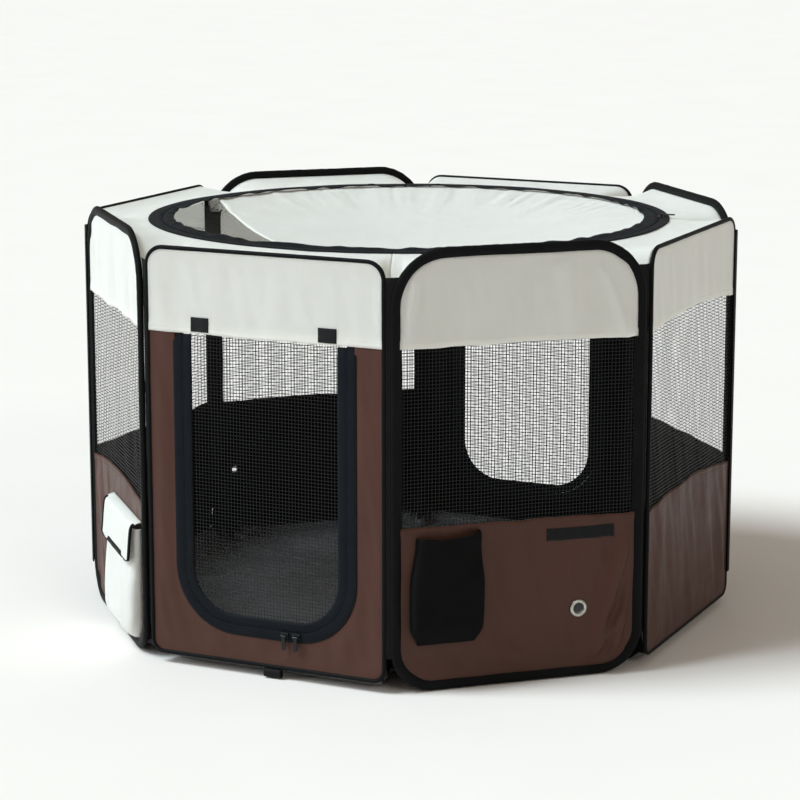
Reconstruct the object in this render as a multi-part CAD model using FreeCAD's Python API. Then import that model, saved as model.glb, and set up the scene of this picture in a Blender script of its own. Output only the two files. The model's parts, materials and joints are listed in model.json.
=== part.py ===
"""Eight-sided soft pet playpen: wire-loop fabric panels, two zipped mesh doors and a zipped top.

Row frame: origin on the ground at the centre of the pen, +Z up, the front door facing -Y.
Millimetres. Each panel is modelled standing in its own frame, x along the wall and -y outwards,
and is then turned into its place round the octagon. "out" is a distance outwards from the
middle of a panel's thickness.
"""

import FreeCAD, Part

import math
import os

# ---- Driving dimensions (mm) -------------------------------------------------------------------
SIDE = 375.0  # between neighbouring fold lines round the octagon
END_GAP = 3.0  # from a fold line to the end of a panel
FOLD_GAP = 0.3  # from a fold line to the face of a panel

WIDE_TOP = 612.0  # panels with the wide binding stand from the ground to here
WIDE_R_TOP, WIDE_R_LOW = 80.0, 62.0  # their outer corner radii
BINDING_WIDTH, BINDING_THICK, BINDING_ROUND = 16.0, 9.0, 4.2
WIDE_WIRE_D = 4.0

THIN_LOW, THIN_TOP = 13.0, 597.0  # panels with the thin piping
THIN_R_TOP, THIN_R_LOW = 28.0, 20.0
PIPING_D = 6.4
THIN_WIRE_D = 3.0
WIRE_GAP = 0.3  # round each wire in its sleeve

CLOTH = 1.2  # thickness of every cloth and mesh sheet
LAP = 8.0  # how far a sheet runs behind the one sewn over it
VALANCE_LOW = 477.0  # lower edge of the cream band
LOWER_TOP = 230.0  # upper edge of the brown part

DOOR_CUT_HALF, DOOR_CUT_LOW, DOOR_CUT_R = 138.0, 58.0, 90.0  # opening in a door surround
ZIP_HALF, ZIP_SPLIT = 11.7, 0.6  # one half of a zip, and the line between the halves
COIL_WIDTH, COIL_PROUD = 3.0, 1.5
HINGE_OUT = 3.2  # a door turns this far in front of the panel's middle
HINGE_DROP = 0.6  # and this far under the valance

SLIDER_LONG, SLIDER_WIDE, SLIDER_THICK, SLIDER_ROUND = 12.0, 9.0, 1.8, 2.5
SLIDER_OVER = 0.4  # between a slider and the coil that it runs on
LIP_THICK, LIP_GAP = 1.4, 0.6  # a slider's guide along the coil's outer side
SLIDER_X = (30.0, 48.0)  # where the two front sliders stand, left and right
PIN_DROP = 6.0  # from the coil's edge to a pull's pin
PIN_D, EYE_D, EYE_BORE_D = 1.4, 3.6, 2.0
EAR_THICK, EAR_HALF, SIDE_PLAY = 1.0, 1.5, 0.3
PULL_WIDE, PULL_LONG, PULL_THICK, PULL_TIP_R = 5.6, 20.0, 1.6, 2.7

PATCH_X, PATCH_WIDE, PATCH_LOW, PATCH_TALL, PATCH_THICK = 98.0, 28.0, 480.0, 20.0, 1.5
STRIP_X, STRIP_LOW, STRIP_WIDE, STRIP_TALL = 91.0, 197.0, 99.0, 17.0
LOOP_X, LOOP_LONG, LOOP_DEEP, LOOP_LOW, LOOP_WALL, LOOP_ROUND = 10.0, 26.0, 9.6, 0.5, 1.4, 3.8
EYELET_X, EYELET_Z, EYELET_D, EYELET_BORE_D = 89.0, 98.0, 25.0, 15.0
EYELET_BARREL, EYELET_FLANGE = 1.0, 1.4
POCKET_X, POCKET_Z, POCKET_DEEP, POCKET_WALL = (-156.0, -56.0), (66.0, 216.0), 20.0, 1.6
POCKET_ROUND = 8.0
POUCH_X, POUCH_Z, POUCH_WALL = (-18.0, 168.0), (17.0, 186.0), 1.6
POUCH_DEEP_TOP, POUCH_DEEP_LOW, POUCH_BELLY_Z, POUCH_TUCK = 15.0, 26.0, 60.0, 8.0
FLAP_TOP, FLAP_LOW, FLAP_THICK, FLAP_OVER = 196.0, 136.0, 1.6, 1.2
FLAP_X = (-21.0, 167.0)

FLOOR_APOTHEM, FLOOR_THICK = 442.0, 2.0
RING_Z = 589.0
OPENING_R, COVER_R = 385.0, 358.0  # outer and inner edges of the zip round the top opening
TOP_ZIP_R = 371.0  # where its two halves meet
SHADE_CHORD, SHADE_DEG = 219.0, 225.0  # straight edge of the shade: how far out, which way
TOP_SLIDER_DEG = 22.5

# ---- The octagon: panels, fold lines and frames ------------------------------------------------
NAMES = ("front_right", "right", "back_right", "back", "back_left", "left", "front_left", "front")
WIDE = ("front_right", "back_right", "back_left", "front_left")
DOORS = ("front", "back")
# The face of the walls that each fold line lies on: 1 inner, -1 outer, 0 middle. The first fold
# line is between the front and front-right walls, and the rest follow anticlockwise.
FOLD_SIDE = (0, 1, -1, 1, 0, 1, -1, 1)
FIRST_FOLD_DEG, STEP_DEG = -67.5, 45.0
CORNER_R = SIDE / (2.0 * math.sin(math.radians(STEP_DEG / 2.0)))

V = FreeCAD.Vector
Z_AXIS, OUTWARD, ALONG = V(0, 0, 1), V(0, -1, 0), V(1, 0, 0)
FRONT = CLOTH / 2.0  # front of the sheets in a panel's middle plane
FAR = 2.0 * SIDE  # beyond any panel


def polar(radius, degrees, z=0.0):
    angle = math.radians(degrees)
    return V(radius * math.cos(angle), radius * math.sin(angle), z)


def fold_line(index):
    """Plan position of a fold line, counted anticlockwise from the one at the front."""
    return polar(CORNER_R, FIRST_FOLD_DEG + STEP_DEG * index)


def half_thickness(name):
    return (BINDING_THICK if name in WIDE else PIPING_D) / 2.0


def panel_placement(name):
    """Puts a panel's own frame into the row frame."""
    index = NAMES.index(name)
    start, end = fold_line(index), fold_line(index + 1)
    outwards = (end - start).cross(Z_AXIS).normalize()
    stand_off = half_thickness(name) + FOLD_GAP
    start += outwards * (stand_off * FOLD_SIDE[index])
    end += outwards * (stand_off * FOLD_SIDE[(index + 1) % len(NAMES)])
    along = end - start
    turn = math.degrees(math.atan2(along.y, along.x))
    return FreeCAD.Placement((start + end) * 0.5, FreeCAD.Rotation(Z_AXIS, turn))


# ---- Shape helpers, in a panel's own frame -----------------------------------------------------
def arc_points(centre, radius, start, unit_a, unit_b):
    """First, middle and last point of a quarter turn from unit_a towards unit_b."""
    angles = [math.radians(start + step) for step in (0, 45, 90)]
    return [centre + unit_a * (radius * math.cos(a)) + unit_b * (radius * math.sin(a)) for a in angles]


def rounded(half_a, half_b, radii, unit_a, unit_b, centre):
    """Closed wire of a rectangle whose corners have the radii (-b, +b)."""
    corners = []
    for side_a, side_b, start in ((1, -1, -90), (1, 1, 0), (-1, 1, 90), (-1, -1, 180)):
        radius = radii[0] if side_b < 0 else radii[1]
        middle = centre + unit_a * (side_a * (half_a - radius)) + unit_b * (side_b * (half_b - radius))
        corners.append((radius, arc_points(middle, radius, start, unit_a, unit_b)))
    edges = []
    for (radius, here), (_, after) in zip(corners, corners[1:] + corners[:1]):
        if radius > 0:
            edges.append(Part.Arc(*here).toShape())
        edges.append(Part.LineSegment(here[2], after[0]).toShape())
    return Part.Wire(edges)


def outline(half, low, top, r_low, r_top):
    """Upright outline of a panel or sheet, in the plane out = 0."""
    middle = V(0, 0, (low + top) / 2.0)
    return rounded(half, (top - low) / 2.0, (r_low, r_top), ALONG, Z_AXIS, middle)


def slab(wire, out_from, out_to):
    """Solid between two distances outwards, from an outline in the plane out = 0."""
    solid = Part.Face(wire).extrude(OUTWARD * (out_to - out_from))
    solid.translate(OUTWARD * out_from)
    return solid


def block(x_range, out_range, z_range):
    size = [high - low for low, high in (x_range, out_range, z_range)]
    return Part.makeBox(*size, V(x_range[0], -out_range[1], z_range[0]))


def between(solid, z_from, z_to):
    """The part of a panel's sheet between two heights."""
    return solid.common(block((-FAR, FAR), (-FAR, FAR), (z_from, z_to)))


def rod(diameter, x_range, out, z):
    """Round bar along the wall."""
    return Part.makeCylinder(diameter / 2.0, x_range[1] - x_range[0], V(x_range[0], -out, z), ALONG)


def swept_loop(face, half, low, top, r_low, r_top):
    """A section carried round a panel: four straight runs and four turned corners.

    The section's face is centred on the origin, its x across the panel and its y through it.
    The other values are those of its centre line.
    """
    pieces = []
    for side in (1, -1):
        run = face.copy()
        run.translate(V(side * half, 0, low + r_low))
        pieces.append(run.extrude(Z_AXIS * (top - r_top - low - r_low)))
        for z, radius, up in ((low, r_low, 1), (top, r_top, -1)):
            centre = V(side * (half - radius), 0, z + up * radius)
            corner = face.copy()
            corner.translate(V(side * half, 0, centre.z))
            pieces.append(corner.revolve(centre, V(0, 1, 0), 90.0 * side * up))
    for z, radius in ((low, r_low), (top, r_top)):
        run = face.copy()
        run.rotate(V(), V(0, 1, 0), 90)
        run.translate(V(radius - half, 0, z))
        pieces.append(run.extrude(V(2.0 * (half - radius), 0, 0)))
    return pieces[0].multiFuse(pieces[1:]).removeSplitter()


def circle(diameter):
    return Part.Wire(Part.makeCircle(diameter / 2.0))


# ---- A panel's edge: the wire loop and the sleeve sewn round it ---------------------------------
def edge_sizes(name):
    """Width of the sleeve and the outer outline of a panel, as (width, half, low, top, r_low, r_top)."""
    half = SIDE / 2.0 - END_GAP
    if name in WIDE:
        return BINDING_WIDTH, half, 0.0, WIDE_TOP, WIDE_R_LOW, WIDE_R_TOP
    return PIPING_D, half, THIN_LOW, THIN_TOP, THIN_R_LOW, THIN_R_TOP


def inset_outline(name, inset):
    """A panel's outer outline as (half, low, top, r_low, r_top), moved in by a distance."""
    _, half, low, top, r_low, r_top = edge_sizes(name)
    return half - inset, low + inset, top - inset, r_low - inset, r_top - inset


def edge_parts(name):
    width = edge_sizes(name)[0]
    centre_line = inset_outline(name, width / 2.0)
    wire_d = WIDE_WIRE_D if name in WIDE else THIN_WIRE_D
    if name in WIDE:
        radii = (BINDING_ROUND, BINDING_ROUND)
        skin = rounded(width / 2.0, BINDING_THICK / 2.0, radii, ALONG, V(0, 1, 0), V())
    else:
        skin = circle(width)
    hollow = circle(wire_d + 2.0 * WIRE_GAP)
    sleeve = swept_loop(Part.Face(skin).cut(Part.Face(hollow)).Faces[0], *centre_line)
    wire = swept_loop(Part.Face(circle(wire_d)), *centre_line)
    sleeve_name = "binding" if name in WIDE else "piping"
    return {name + "_frame_wire": wire, name + "_" + sleeve_name: sleeve}


# ---- The sheets inside the edge -----------------------------------------------------------------
def sheet(name, z_from, z_to, out_from):
    """A sheet that fills a panel inside its edge between two heights."""
    wire = outline(*inset_outline(name, edge_sizes(name)[0]))
    return between(slab(wire, out_from, out_from + CLOTH), z_from, z_to)


def window_sheets(name):
    """Valance, mesh window and lower panel of a wall without a door."""
    lower = sheet(name, 0.0, LOWER_TOP, FRONT)
    if name == "front_right":
        lower = lower.cut(eyelet_cylinder(EYELET_BORE_D + 2.0 * EYELET_BARREL, -FAR, FAR))
    return {
        name + "_valance": sheet(name, VALANCE_LOW, WIDE_TOP, FRONT),
        name + "_mesh": sheet(name, LOWER_TOP - LAP, VALANCE_LOW + LAP, -FRONT),
        name + "_lower_panel": lower,
    }


def door_outline(inset, top):
    """The door opening's U, moved in by a distance."""
    low = DOOR_CUT_LOW + inset
    return outline(DOOR_CUT_HALF - inset, low, top, DOOR_CUT_R - inset, 0.0)


def u_band(inset_from, inset_to, out_from, out_to, top):
    outer = slab(door_outline(inset_from, top), out_from, out_to)
    return outer.cut(slab(door_outline(inset_to, top + LAP), out_from, out_to))


def door_sheets(name):
    """Valance, surround, zip and door of a wall with a door."""
    coil_front = FRONT + COIL_PROUD
    surround = sheet(name, 0.0, VALANCE_LOW + LAP, -FRONT)
    surround = surround.cut(slab(door_outline(0.0, VALANCE_LOW), -FRONT, FRONT))
    track = u_band(0.0, ZIP_HALF, -FRONT, FRONT, VALANCE_LOW)
    track = track.fuse(u_band(ZIP_HALF - COIL_WIDTH, ZIP_HALF, 0.0, coil_front, VALANCE_LOW))
    top = VALANCE_LOW - HINGE_DROP - LIP_GAP
    seam, inner = ZIP_HALF + ZIP_SPLIT, 2.0 * ZIP_HALF + ZIP_SPLIT
    tape = u_band(seam, inner, -FRONT, FRONT, top)
    tape = tape.fuse(u_band(seam, seam + COIL_WIDTH, 0.0, coil_front, top))
    net = slab(door_outline(inner, top), -FRONT, FRONT)
    return {
        name + "_valance": sheet(name, VALANCE_LOW, THIN_TOP, FRONT),
        name + "_door_surround": surround,
        name + "_door_zip_track": track.removeSplitter(),
        name + "_door": Part.makeCompound([net, tape.removeSplitter()]),
    }


# ---- Zip sliders and pulls ----------------------------------------------------------------------
COIL_EDGE_Z = DOOR_CUT_LOW + ZIP_HALF  # the line along the bottom where a door's zip meets
PLATE_OUT = FRONT + COIL_PROUD + SLIDER_OVER
PIN_Z = COIL_EDGE_Z - PIN_DROP
PIN_OUT = PLATE_OUT + SLIDER_THICK + SLIDER_OVER + EYE_D / 2.0


def slider(x):
    """Front half of a slider: plate, guide lip, and two ears that hold the pull's pin."""
    top = COIL_EDGE_Z - LIP_GAP / 2.0
    radii = (SLIDER_ROUND, SLIDER_ROUND)
    centre = V(x, 0, top - SLIDER_WIDE / 2.0)
    face = rounded(SLIDER_LONG / 2.0, SLIDER_WIDE / 2.0, radii, ALONG, Z_AXIS, centre)
    plate = slab(face, PLATE_OUT, PLATE_OUT + SLIDER_THICK)
    lip_top = COIL_EDGE_Z - COIL_WIDTH - LIP_GAP
    lip_half = SLIDER_LONG / 2.0 - SLIDER_ROUND
    lip_out = (FRONT + SLIDER_OVER, PLATE_OUT + SLIDER_OVER)
    shape = plate.fuse(block((x - lip_half, x + lip_half), lip_out, (lip_top - LIP_THICK, lip_top)))
    reach = PULL_WIDE / 2.0 + SIDE_PLAY
    for side in (-1, 1):
        span = sorted((x + side * reach, x + side * (reach + EAR_THICK)))
        shape = shape.fuse(block(span, (PLATE_OUT, PIN_OUT), (PIN_Z - EAR_HALF, PIN_Z + EAR_HALF)))
        shape = shape.fuse(rod(2.0 * EAR_HALF, span, PIN_OUT, PIN_Z))
    return shape.fuse(rod(PIN_D, (x - reach, x + reach), PIN_OUT, PIN_Z)).removeSplitter()


def pull(x):
    """Pull tab hanging from a slider's pin: an eye, a flat tongue and a round end."""
    half = PULL_WIDE / 2.0
    middle = V(x, 0, PIN_Z - PULL_LONG / 2.0)
    face = rounded(half, PULL_LONG / 2.0, (PULL_TIP_R, 0.0), ALONG, Z_AXIS, middle)
    tongue = slab(face, PIN_OUT - PULL_THICK / 2.0, PIN_OUT + PULL_THICK / 2.0)
    shape = tongue.fuse(rod(EYE_D, (x - half, x + half), PIN_OUT, PIN_Z))
    bore = rod(EYE_BORE_D, (x - PULL_WIDE, x + PULL_WIDE), PIN_OUT, PIN_Z)
    return shape.cut(bore).removeSplitter()


def door_hardware(name):
    if name == "front":
        parts = {}
        for side, x in zip(("left", "right"), SLIDER_X):
            parts["front_zip_slider_" + side] = slider(x)
            parts["front_zip_pull_" + side] = pull(x)
        return parts
    return {"back_zip_slider": slider(SLIDER_X[0]), "back_zip_pull": pull(SLIDER_X[0])}


# ---- Trim of single walls -----------------------------------------------------------------------
def eyelet_cylinder(diameter, out_from, out_to):
    foot = V(EYELET_X, -out_from, EYELET_Z)
    return Part.makeCylinder(diameter / 2.0, out_to - out_from, foot, OUTWARD)


def eyelet():
    """Two-part metal eyelet: a barrel through the cloth and a flange on each side of it."""
    back, front = FRONT, FRONT + CLOTH
    barrel_d = EYELET_BORE_D + 2.0 * EYELET_BARREL
    shape = eyelet_cylinder(barrel_d, back - EYELET_FLANGE, front + EYELET_FLANGE)
    for out in (back - EYELET_FLANGE, front):
        shape = shape.fuse(eyelet_cylinder(EYELET_D, out, out + EYELET_FLANGE))
    return shape.cut(eyelet_cylinder(EYELET_BORE_D, -FAR, FAR)).removeSplitter()


def pocket():
    """Open-topped outside pocket: a front and two sides and a bottom sewn to the wall."""
    back, front = FRONT + CLOTH, POCKET_DEEP
    outer = block(POCKET_X, (back, front), POCKET_Z)
    inner_x = (POCKET_X[0] + POCKET_WALL, POCKET_X[1] - POCKET_WALL)
    inner = block(inner_x, (back, front - POCKET_WALL), (POCKET_Z[0] + POCKET_WALL, POCKET_Z[1]))
    upright = [edge for edge in outer.Edges if edge.BoundBox.ZLength > POCKET_DEEP + POCKET_WALL
               and edge.BoundBox.XLength < POCKET_WALL]
    front_edges = [edge for edge in upright if edge.BoundBox.Center.y < -front + POCKET_WALL]
    return outer.makeFillet(POCKET_ROUND, front_edges).cut(inner)


def pouch_profile(shrink):
    """Side section of the pouch as points (out, z), moved in by a distance."""
    back = FRONT + CLOTH
    low, rim = POUCH_Z[0] + shrink, POUCH_Z[1]
    belly = POUCH_DEEP_LOW - shrink
    return ((back, low), (belly - POUCH_TUCK, low), (belly, POUCH_BELLY_Z),
            (POUCH_DEEP_TOP - shrink, rim), (back, rim))


def along_wall(points, x_range):
    """Solid with a side section given as (out, z) points, running along the wall."""
    corners = [V(x_range[0], -out, z) for out, z in points]
    face = Part.Face(Part.makePolygon(corners + corners[:1]))
    return face.extrude(ALONG * (x_range[1] - x_range[0]))


def pouch():
    """Outside pouch with a sloping front, inside the rounded corner of its wall's binding."""
    inside_edge = inset_outline("front_left", BINDING_WIDTH + FOLD_GAP)
    outer = along_wall(pouch_profile(0.0), POUCH_X).common(slab(outline(*inside_edge), -FAR, FAR))
    inside_pouch = inset_outline("front_left", BINDING_WIDTH + FOLD_GAP + POUCH_WALL)
    hollow = along_wall(pouch_profile(POUCH_WALL), (POUCH_X[0] + POUCH_WALL, POUCH_X[1]))
    return outer.cut(hollow.common(slab(outline(*inside_pouch), -FAR, FAR)))


def pouch_flap():
    """Flap that leaves the wall over the pouch, turns over its rim and lies down its front."""
    slope = (POUCH_DEEP_LOW - POUCH_DEEP_TOP) / (POUCH_Z[1] - POUCH_BELLY_Z)
    rim_out = POUCH_DEEP_TOP + FLAP_OVER
    low_out = rim_out + slope * (POUCH_Z[1] - FLAP_LOW)
    wall_out, rim_z = FRONT + 2.0 * CLOTH, POUCH_Z[1] + FLAP_OVER
    inner = [(wall_out, FLAP_TOP - FLAP_THICK), (rim_out, rim_z), (low_out, FLAP_LOW)]
    outer = [(low_out + FLAP_THICK, FLAP_LOW), (rim_out + FLAP_THICK, rim_z + FLAP_THICK / 2.0),
             (wall_out, FLAP_TOP)]
    return along_wall(inner + outer, FLAP_X)


def stake_loop():
    """Short webbing loop under the front wall, open along the wall, for a ground stake."""
    half, mid_z = LOOP_DEEP / 2.0, (LOOP_LOW + THIN_LOW) / 2.0
    tall = (THIN_LOW - LOOP_LOW) / 2.0
    start = V(LOOP_X - LOOP_LONG / 2.0, 0, mid_z)
    outer = rounded(half, tall, (LOOP_ROUND, LOOP_ROUND), V(0, 1, 0), Z_AXIS, start)
    inner_half, inner_tall, inner_round = half - LOOP_WALL, tall - LOOP_WALL, LOOP_ROUND - LOOP_WALL
    inner = rounded(inner_half, inner_tall, (inner_round, inner_round), V(0, 1, 0), Z_AXIS, start)
    return Part.Face(outer).cut(Part.Face(inner)).Faces[0].extrude(ALONG * LOOP_LONG)


def stuck_on(x, wide, z_range):
    """A strip of hook-and-loop tape on the outside of a wall."""
    surface = FRONT + CLOTH
    return block((x - wide / 2.0, x + wide / 2.0), (surface, surface + PATCH_THICK), z_range)


def trim(name):
    if name == "front":
        z_range = (PATCH_LOW, PATCH_LOW + PATCH_TALL)
        patches = [stuck_on(x, PATCH_WIDE, z_range) for x in (-PATCH_X, PATCH_X)]
        return {"front_hook_patches": Part.makeCompound(patches), "front_stake_loop": stake_loop()}
    if name == "front_right":
        strip = stuck_on(STRIP_X, STRIP_WIDE, (STRIP_LOW, STRIP_LOW + STRIP_TALL))
        return {"front_right_pocket": pocket(), "front_right_hook_strip": strip,
                "front_right_eyelet": eyelet()}
    if name == "front_left":
        return {"front_left_pouch": pouch(), "front_left_pouch_flap": pouch_flap()}
    return {}


# ---- Floor and top ------------------------------------------------------------------------------
def octagon(apothem, z_from, thick):
    radius = apothem / math.cos(math.radians(STEP_DEG / 2.0))
    points = [polar(radius, FIRST_FOLD_DEG + STEP_DEG * k, z_from) for k in range(9)]
    return Part.Face(Part.makePolygon(points)).extrude(Z_AXIS * thick)


def disc(radius, z_from, thick):
    return Part.makeCylinder(radius, thick, V(0, 0, z_from))


def zip_ring(r_in, r_out, coil_from, coil_to):
    """One half of the round zip: flat tape with its raised coil."""
    tape = disc(r_out, RING_Z, CLOTH).cut(disc(r_in, RING_Z, CLOTH))
    coil = disc(coil_to, RING_Z, CLOTH + COIL_PROUD).cut(disc(coil_from, RING_Z, CLOTH + COIL_PROUD))
    return tape.fuse(coil).removeSplitter()


def floor_and_top():
    outer_seam, inner_seam = TOP_ZIP_R + ZIP_SPLIT / 2.0, TOP_ZIP_R - ZIP_SPLIT / 2.0
    ring = octagon(FLOOR_APOTHEM, RING_Z, CLOTH).cut(disc(OPENING_R, RING_Z, CLOTH))
    outer_zip = zip_ring(outer_seam, OPENING_R, outer_seam, outer_seam + COIL_WIDTH)
    inner_zip = zip_ring(COVER_R, inner_seam, inner_seam - COIL_WIDTH, inner_seam)
    shade = disc(COVER_R, RING_Z + CLOTH, CLOTH)
    beyond = Part.makeBox(FAR, 2.0 * FAR, FAR, V(SHADE_CHORD, -FAR, RING_Z))
    beyond.rotate(V(), Z_AXIS, SHADE_DEG)
    return {
        "floor": octagon(FLOOR_APOTHEM, 0.0, FLOOR_THICK),
        "top_ring": Part.makeCompound([ring, outer_zip]),
        "top_cover_mesh": Part.makeCompound([disc(COVER_R, RING_Z, CLOTH), inner_zip]),
        "top_cover_shade": shade.cut(beyond),
        "top_zip_slider": top_slider(),
    }


def top_slider():
    """A slider and its pull laid flat on the ring, the pull pointing outwards."""
    shape = Part.makeCompound([slider(0.0), pull(0.0)])
    shape.translate(V(0, 0, -COIL_EDGE_Z))
    seam = polar(TOP_ZIP_R + ZIP_SPLIT / 2.0, TOP_SLIDER_DEG, RING_Z + FRONT)
    radial, tangent = polar(1, TOP_SLIDER_DEG), polar(1, TOP_SLIDER_DEG + 90)
    lay_flat = FreeCAD.Rotation(tangent, -Z_AXIS, -radial, "XYZ")
    shape.Placement = FreeCAD.Placement(seam, lay_flat).multiply(shape.Placement)
    return shape


# ---- The whole pen ------------------------------------------------------------------------------
def build():
    nodes = floor_and_top()
    for name in NAMES:
        pieces = edge_parts(name)
        pieces.update(door_sheets(name) if name in DOORS else window_sheets(name))
        if name in DOORS:
            pieces.update(door_hardware(name))
        pieces.update(trim(name))
        place = panel_placement(name)
        for node, shape in pieces.items():
            shape.Placement = place.multiply(shape.Placement)
            nodes[node] = shape
    return nodes


def main():
    os.makedirs("parts", exist_ok=True)
    for node, shape in build().items():
        shape.exportStep(os.path.join("parts", node + ".step"))


main()
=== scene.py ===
"""Looks of the eight-sided soft pet playpen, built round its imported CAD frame.

Shapes are worked out in millimetres and turned into metres as each mesh is made. Each wall has its
own axes, x along the wall, "out" outwards from the middle of its thickness, and z up. The floor and
the top are in the row frame: +Z up, the front door faces -Y.
"""

import json
import math

import bmesh
import bpy
import numpy as np
from mathutils import Matrix, Vector, noise

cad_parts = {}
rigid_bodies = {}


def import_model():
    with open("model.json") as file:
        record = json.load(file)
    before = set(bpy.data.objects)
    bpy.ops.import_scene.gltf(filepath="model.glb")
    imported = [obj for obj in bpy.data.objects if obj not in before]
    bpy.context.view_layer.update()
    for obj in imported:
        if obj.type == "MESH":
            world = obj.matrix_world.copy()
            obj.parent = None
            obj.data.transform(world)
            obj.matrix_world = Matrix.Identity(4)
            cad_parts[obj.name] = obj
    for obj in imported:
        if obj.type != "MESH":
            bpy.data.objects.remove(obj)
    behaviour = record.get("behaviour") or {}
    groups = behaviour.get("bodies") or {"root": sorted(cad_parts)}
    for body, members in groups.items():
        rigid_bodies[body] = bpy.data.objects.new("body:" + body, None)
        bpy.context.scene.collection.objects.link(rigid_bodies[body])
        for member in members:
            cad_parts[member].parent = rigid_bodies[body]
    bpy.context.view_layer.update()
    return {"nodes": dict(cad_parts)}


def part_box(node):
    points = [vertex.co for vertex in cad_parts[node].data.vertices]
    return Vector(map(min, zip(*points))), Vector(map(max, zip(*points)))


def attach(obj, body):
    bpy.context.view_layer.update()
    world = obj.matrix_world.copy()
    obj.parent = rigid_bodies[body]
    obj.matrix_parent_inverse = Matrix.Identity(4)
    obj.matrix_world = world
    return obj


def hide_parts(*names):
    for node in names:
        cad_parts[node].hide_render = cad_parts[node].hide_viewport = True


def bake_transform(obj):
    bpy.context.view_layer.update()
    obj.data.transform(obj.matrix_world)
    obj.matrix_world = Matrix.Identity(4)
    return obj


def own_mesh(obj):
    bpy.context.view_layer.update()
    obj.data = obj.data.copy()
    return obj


for leftover in list(bpy.data.objects):
    bpy.data.objects.remove(leftover)
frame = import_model()
MM = 0.001


# ---- Camera --------------------------------------------------------------------------------------
CAMERA_LENS, CAMERA_SENSOR = 118.8, 36.0  # mm
CAMERA_NEAR, CAMERA_FAR = 0.1, 120.0  # m
CAMERA_PLACE = (1.7058, -3.5433, 1.1166)
CAMERA_HEADING_DEG, CAMERA_DOWN_DEG = 115.9, 11.6


def add_camera():
    """A long lens a little above the pen, looking at the corner right of the front door."""
    data = bpy.data.cameras.new("camera")
    data.lens, data.sensor_width = CAMERA_LENS, CAMERA_SENSOR
    data.clip_start, data.clip_end = CAMERA_NEAR, CAMERA_FAR
    camera = bpy.data.objects.new("camera", data)
    heading, pitch = math.radians(CAMERA_HEADING_DEG), math.radians(CAMERA_DOWN_DEG)
    level = math.cos(pitch)
    sight = Vector((math.cos(heading) * level, math.sin(heading) * level, -math.sin(pitch)))
    camera.location = CAMERA_PLACE
    camera.rotation_euler = sight.to_track_quat("-Z", "Y").to_euler()
    bpy.context.scene.collection.objects.link(camera)
    bpy.context.scene.camera = camera


add_camera()


# ---- Sizes, read from the frame (mm) --------------------------------------------------------------
def low(node):
    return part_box(node)[0] / MM


def high(node):
    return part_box(node)[1] / MM


NAMES = ("front_right", "right", "back_right", "back", "back_left", "left", "front_left", "front")
WIDE = ("front_right", "back_right", "back_left", "front_left")
DOORS = ("front", "back")
FOLD_SIDE = (0, 1, -1, 1, 0, 1, -1, 1)  # face each fold line lies on: 1 inner, -1 outer, 0 middle
FIRST_FOLD_DEG, STEP_DEG = -67.5, 45.0
FOLD_HALF = 187.5  # from a wall's middle to its fold lines
WALL_HALF = 184.5  # and to its own ends

WIDE_TOP, WIDE_R_TOP, WIDE_R_LOW = high("front_right_binding").z, 80.0, 62.0
THIN_LOW, THIN_TOP, THIN_R_TOP, THIN_R_LOW = low("front_piping").z, high("front_piping").z, 28.0, 20.0
BINDING_WIDTH, BINDING_HALF, PIPING_R = 16.0, 4.5, 3.2
VALANCE_LOW, LOWER_TOP = low("front_valance").z, high("right_lower_panel").z
CLOTH = 1.2
SHEET_OUT = 1.2  # middle of a wall's outer sheets
DOOR_HALF, DOOR_LOW, DOOR_R = 138.0, low("front_door_zip_track").z, 90.0
ZIP_HALF = 11.7
SEAM = ZIP_HALF + 0.3  # from the edge of the door's opening to the line where its zip meets
RING_Z = low("top_ring").z
OPENING_R, SEAM_R, COVER_R = 385.0, 371.0, 358.0
SHADE_CHORD, SHADE_DEG = 219.0, 225.0
FLOOR_APOTHEM = 442.0
NET_PITCH, NET_THREAD = 5.0, 0.85
UNDER = 4.0  # how far a sheet runs in under a binding
EDGE_PITCH = 5.0  # between the stations of a wall's edge
STITCH_R = 0.36
HEM, HEM_THICK, HEM_STITCH = (9.0, 11.0), 0.9, 8.0  # where a hem ends, what it adds, its stitches
TAPE = 0.9  # thickness of a zip's tape
TOOTH_PITCH, TOOTH_HALF, TOOTH_R, TOOTH_LEAN = 1.7, 2.1, 0.75, 1.1
DOOR_NET_IN = 20.0  # from the edge of a door's opening to its netting
PAINTED_SHADE_FROM_Z = 16.0  # painted shade: above this the floor's turned-up edge takes the black lining cloth, darkening the inside corners where shade falls
OUTWARDS, UPWARDS = np.array((0.0, 1.0, 0.0)), np.array((0.0, 0.0, 1.0))


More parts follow.
